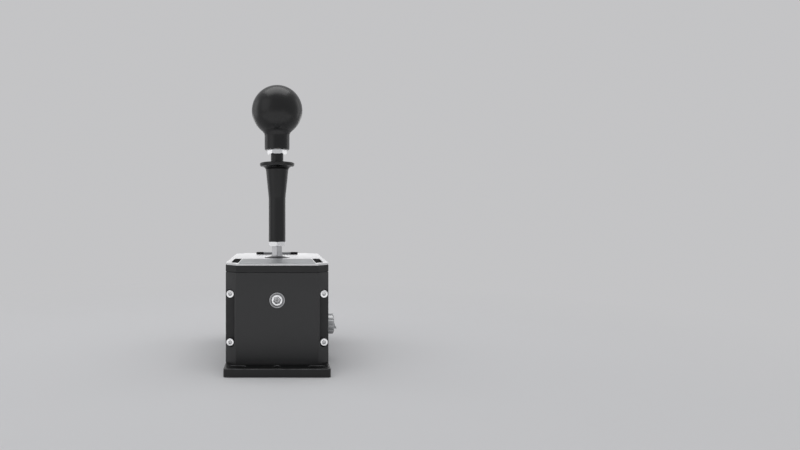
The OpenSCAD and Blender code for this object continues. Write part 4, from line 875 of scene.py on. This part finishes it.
centring = dict(node="centring_springs", wide=6.4, wire=0.9, turns=6, long=12.9, across=(0, 1),
                bodies=("lever", "cradle"))
springs = [dict(name="liftSpring", node="lift_spring", wide=12.3, wire=1.2, turns=7, long=32.9,
                place=turnUp(0, 0, 121.6), across=(0, 2), bodies=("collar", "lever")),
           dict(name="preloadSpring", node="preload_spring", wide=10.0, wire=1.2, turns=11, long=26.4,
                place=turnBack(0, -59.45, 66.0), across=(0, 1), bodies=("seat", "housing")),
           dict(centring, name="rightSpring", place=turnRight(5.05, 0, 48.0)),
           dict(centring, name="leftSpring", place=turnLeft(-5.05, 0, 48.0))]


# coil: a round wire along a helix whose end turns lie close
def makeSprings():
    phi = angles(10)
    for s in springs:
        turn = np.linspace(0, s["turns"], s["turns"] * 24 + 1)
        w, high = s["wire"], s["long"] - s["wire"]
        rise = np.interp(turn, [0, 1, s["turns"] - 1, s["turns"]], [0, 1.04 * w, high - 1.04 * w, high]) + w / 2
        radius = s["wide"] / 2 + w / 2 * np.cos(phi)
        around = 2 * np.pi * turn[:, None]
        rows = s["place"](radius * np.cos(around), radius * np.sin(around), rise[:, None] + w / 2 * np.sin(phi))
        ends = [tuple(s["place"](0, 0, h) * mm) for h in (0, s["long"])]
        patches = barPatches(rows, s["across"])
        buildPiece(s["name"], patches, (*s["bodies"], *ends), s["node"], "spring_steel", sharp=50)


makeRod()
makeDome()
makeKnob()
makeCollar()
makeSprings()
print("lever made")


# Selector and socket

selector = dict(at=(49.3, -29.0, 35.6), wide=20.5, thick=6.9, flutes=12, fluteWide=3.4, fluteDeep=0.7, rim=1.2,
                gripTop=2.2, gripWide=5.9, gripHigh=2.2, gripEdge=0.6, bore=3.05, boreDeep=5.9,
                bush=(10.0, 14.0, 1.5, 9.0))


# fluted disc: the radius follows round grooves cut into the rim
def makeSelector():
    steps = 288
    r, f, part = selector["wide"] / 2, selector["fluteWide"] / 2, np.pi / selector["flutes"]
    far = r + f - selector["fluteDeep"]
    near = (angles(steps) + part) % (2 * part) - part  # angle from the nearest groove
    inside = f ** 2 - (far * np.sin(near)) ** 2
    groove = np.where(inside > 0, far * np.cos(near) - np.sqrt(np.maximum(inside, 0)), r)
    rim = np.minimum(groove, r)
    c, h, bore, deep = selector["rim"], selector["thick"], selector["bore"], selector["boreDeep"]
    rows = [(0, deep), (bore, deep), (bore, 0.2), (bore + 0.2, 0.0), (rim - 0.35, 0.0), (rim, 0.35),
            (rim, h - c - 0.1)]
    rows += [(np.minimum(rim, r - cut), h - down) for cut, down in [(0.12, c - 0.05), (c - 0.1, 0.12), (c + 0.15, 0)]]
    rows += [(np.minimum(rim, r - c) * 0.5, h), (0, h)]
    wearAndShade = [0, 0, 0, 0, 1, 0, 1, 0, 1, 0, 0]
    x, y, z = selector["at"]
    patches = [turnedPatch(rows, turnRight(x, y, z), steps, wearAndShade)]
    # grip: a wedge across the face, its section carried from end to end and trimmed to the disc
    top, g = selector["gripTop"], selector["gripHigh"]
    low = top - selector["gripWide"]
    edge, sunk = low + selector["gripEdge"], h - 0.8
    section = roundedLoop([[sunk, low], [h + g, low], [h + g, edge], [h, top], [sunk, top]],
                          [0.05, 0.22, 0.35, 0.6, 0.05], 4)
    half = np.sqrt((r - c) ** 2 - section[:, 1] ** 2) - 0.25
    middle = section.mean(0)
    rows = []
    for a, pull in [(-1, 0.93), (-0.985, 1.0), (0.985, 1.0), (1, 0.93)]:  # drawn in a little at both ends
        u, v = (middle + (section - middle) * pull).T
        rows.append(np.column_stack([x + u, y + half * a, z + v]))
    patches += barPatches(rows, (0, 2), [1, 0, 1])
    buildPiece("selectorKnob", patches, "selector", "selector_knob", "selector_silver")
    b, w, thick, deep = selector["bush"]
    path, wearAndShade = softPath([[bore, -deep], [b / 2, -deep], [b / 2, 0.0], [w / 2, 0.0], [w / 2, thick], [bore, thick],
                           [bore, -deep]], [0.1, 0.05, 0.15, 0.3, 0.1])
    patch = turnedPatch(path, turnRight(sides["outer"], y, z), 72, wearAndShade)
    buildPiece("selectorBush", [patch], "housing", "selector_bush", "ring_steel")


# open box with a shelf along its lower inside wall for the latch, then its contacts
def makeSocket():
    w, h, wall, z = inlet["wide"] / 2, inlet["high"] / 2, inlet["wall"], inlet["z"]
    front = inlet["mouth"]
    foot = front - inlet["deep"]
    outer = roundedLoop(boxLoop(-w - wall, z - h - wall, w + wall, z + h + wall), 0.5, 4)
    mouth = roundedLoop(boxLoop(-w, z - h, w, z + h), 0.3, 4)
    half, high, short = inlet["shelf"]
    shelf = boxLoop(-half, z - h + 0.02, half, z - h + high)
    patches = slabPatches(outer, [mouth], foot, front, 0.3, crisp, flatBack)
    patches += slabPatches(outer, [], inlet["back"], foot - inlet["joint"], crisp, crisp, flatBack)
    patches += slabPatches(shelf, [], foot + 0.1, front - short, 0.15, crisp, flatBack)
    buildPiece("dataSocket", patches, "housing", "data_socket", "socket_black")
    # contacts: wires that slope down from the upper wall
    n, r, top = inlet["contacts"], inlet["wire"], z + h
    t = angles(8)
    path = [(foot + 0.4, top - 0.35), (foot + 2.6, top - 0.45), (foot + 7.1, top - 2.2), (foot + 7.9, top - 2.25)]
    wires = []
    for x in (np.arange(n) - (n - 1) / 2) * inlet["pitch"]:
        rows = [np.column_stack([x + r * np.cos(t), np.full(len(t), y), v + r * np.sin(t)]) for y, v in path]
        wires += barPatches(rows, (0, 2))
    buildPiece("socketContacts", wires, "housing", None, None, "contact_gold")


makeSelector()
makeSocket()
print("selector and socket made")


# Studio

studio = dict(floor=(0.68, 0.68, 0.69), far=(0.55, 0.55, 0.56), near=0.16, fade=0.7, reach=9.0, back=1.8, bend=0.9,
              top=5.0)


# floor that curves up into a backdrop; further off it is seen as an evenly lit pale paper
def makeStudio():
    s = studio
    t = np.linspace(0, np.pi / 2, 24)
    y = np.concatenate([[-s["reach"]], s["back"] + s["bend"] * np.sin(t), [s["back"] + s["bend"]]])
    z = np.concatenate([[0], s["bend"] * (1 - np.cos(t)), [s["top"]]])
    rows = [[[-s["reach"], v, w], [s["reach"], v, w]] for v, w in zip(y, z)]
    points, faces = sweepPatch(rows, wrap=False)[:2]
    mesh = bpy.data.meshes.new("studioFloor")
    mesh.from_pydata(points.tolist(), [], faces.tolist())
    mesh.shade_smooth()
    paper = bpy.data.materials.new("studioPaper")
    paper.use_nodes = True
    tree = paper.node_tree
    shader = tree.nodes["Principled BSDF"]
    feed(tree, shader, {"Base Color": (*s["floor"], 1), "Roughness": 0.9, "Specular IOR Level": 0.1})
    glow = addNode(tree, "Emission", {"Color": (*s["far"], 1)})[0]
    away = addNode(tree, "VectorMath", {0: objectPlace(tree)}, operation="LENGTH")["Value"]
    fade = rangeNode(tree, away, s["near"], s["fade"], curve="SMOOTHSTEP")
    seen = mathNode(tree, "MULTIPLY", fade, seenRays(tree))
    mix = addNode(tree, "MixShader", {0: seen, 1: shader.outputs[0], 2: glow})[0]
    feed(tree, tree.nodes["Material Output"], {"Surface": mix})
    mesh.materials.append(paper)
    floor = addObject("studioFloor", mesh)


# name, place, point that it faces, size and power
lamps = [("keyLamp", (-1.4, -1.0, 0.8), (0, 0, 0.14), (1.3, 1.6), 3.2),
         ("topLamp", (0.0, 0.1, 1.3), (0, 0, 0.15), (1.3, 0.9), 7.0),
         ("leftLamp", (-1.15, 0.45, 0.45), (0, 0, 0.15), (0.5, 1.0), 1.2),
         ("rightLamp", (1.1, 0.5, 0.45), (0, 0, 0.15), (0.35, 1.0), 0.75),
         ("backLamp", (0.0, 1.5, 0.22), (0, 0, 0.1), (2.4, 0.36), 2.8),
         ("frontLamp", (-0.1, -0.62, 0.012), (-0.1, -0.62, 1.0), (1.5, 1.0), 2.2)]
air = dict(colour=(0.97, 0.98, 1.0), fill=0.46, seen=0.57)


def makeLamps():
    for name, at, to, size, power in lamps:
        light = bpy.data.lights.new(name, "AREA")
        light.shape = "RECTANGLE"
        light.size, light.size_y = size
        light.energy = power
        holder = addObject(name, light)
        holder.location = at
        holder.rotation_euler = (Vector(to) - Vector(at)).to_track_quat("-Z", "Y").to_euler()
        holder.visible_camera = False
    world = bpy.data.worlds.new("studioAir")
    world.use_nodes = True
    tree = world.node_tree
    level = rangeNode(tree, seenRays(tree), 0, 1, air["fill"], air["seen"])  # dimmer where it is only light
    feed(tree, tree.nodes["Background"], {"Color": (*air["colour"], 1), "Strength": level})
    scene.world = world


view = dict(at=(0.0, -0.6125, 0.1388), focal=584.2, axis=(277.1, 220.0), image=(800, 450), sensor=36.0)


def makeCamera():
    camera = bpy.data.cameras.new("photoCamera")
    wide, high = view["image"]
    camera.sensor_width = view["sensor"]
    camera.lens = view["focal"] / wide * view["sensor"]
    camera.shift_x = (wide / 2 - view["axis"][0]) / wide
    camera.shift_y = -(high / 2 - view["axis"][1]) / wide
    camera.clip_start = 0.01
    holder = addObject("photoCamera", camera)
    holder.location = view["at"]
    holder.rotation_euler = (math.pi / 2, 0, 0)
    scene.camera = holder


makeStudio()
makeLamps()
makeCamera()
print("studio made")
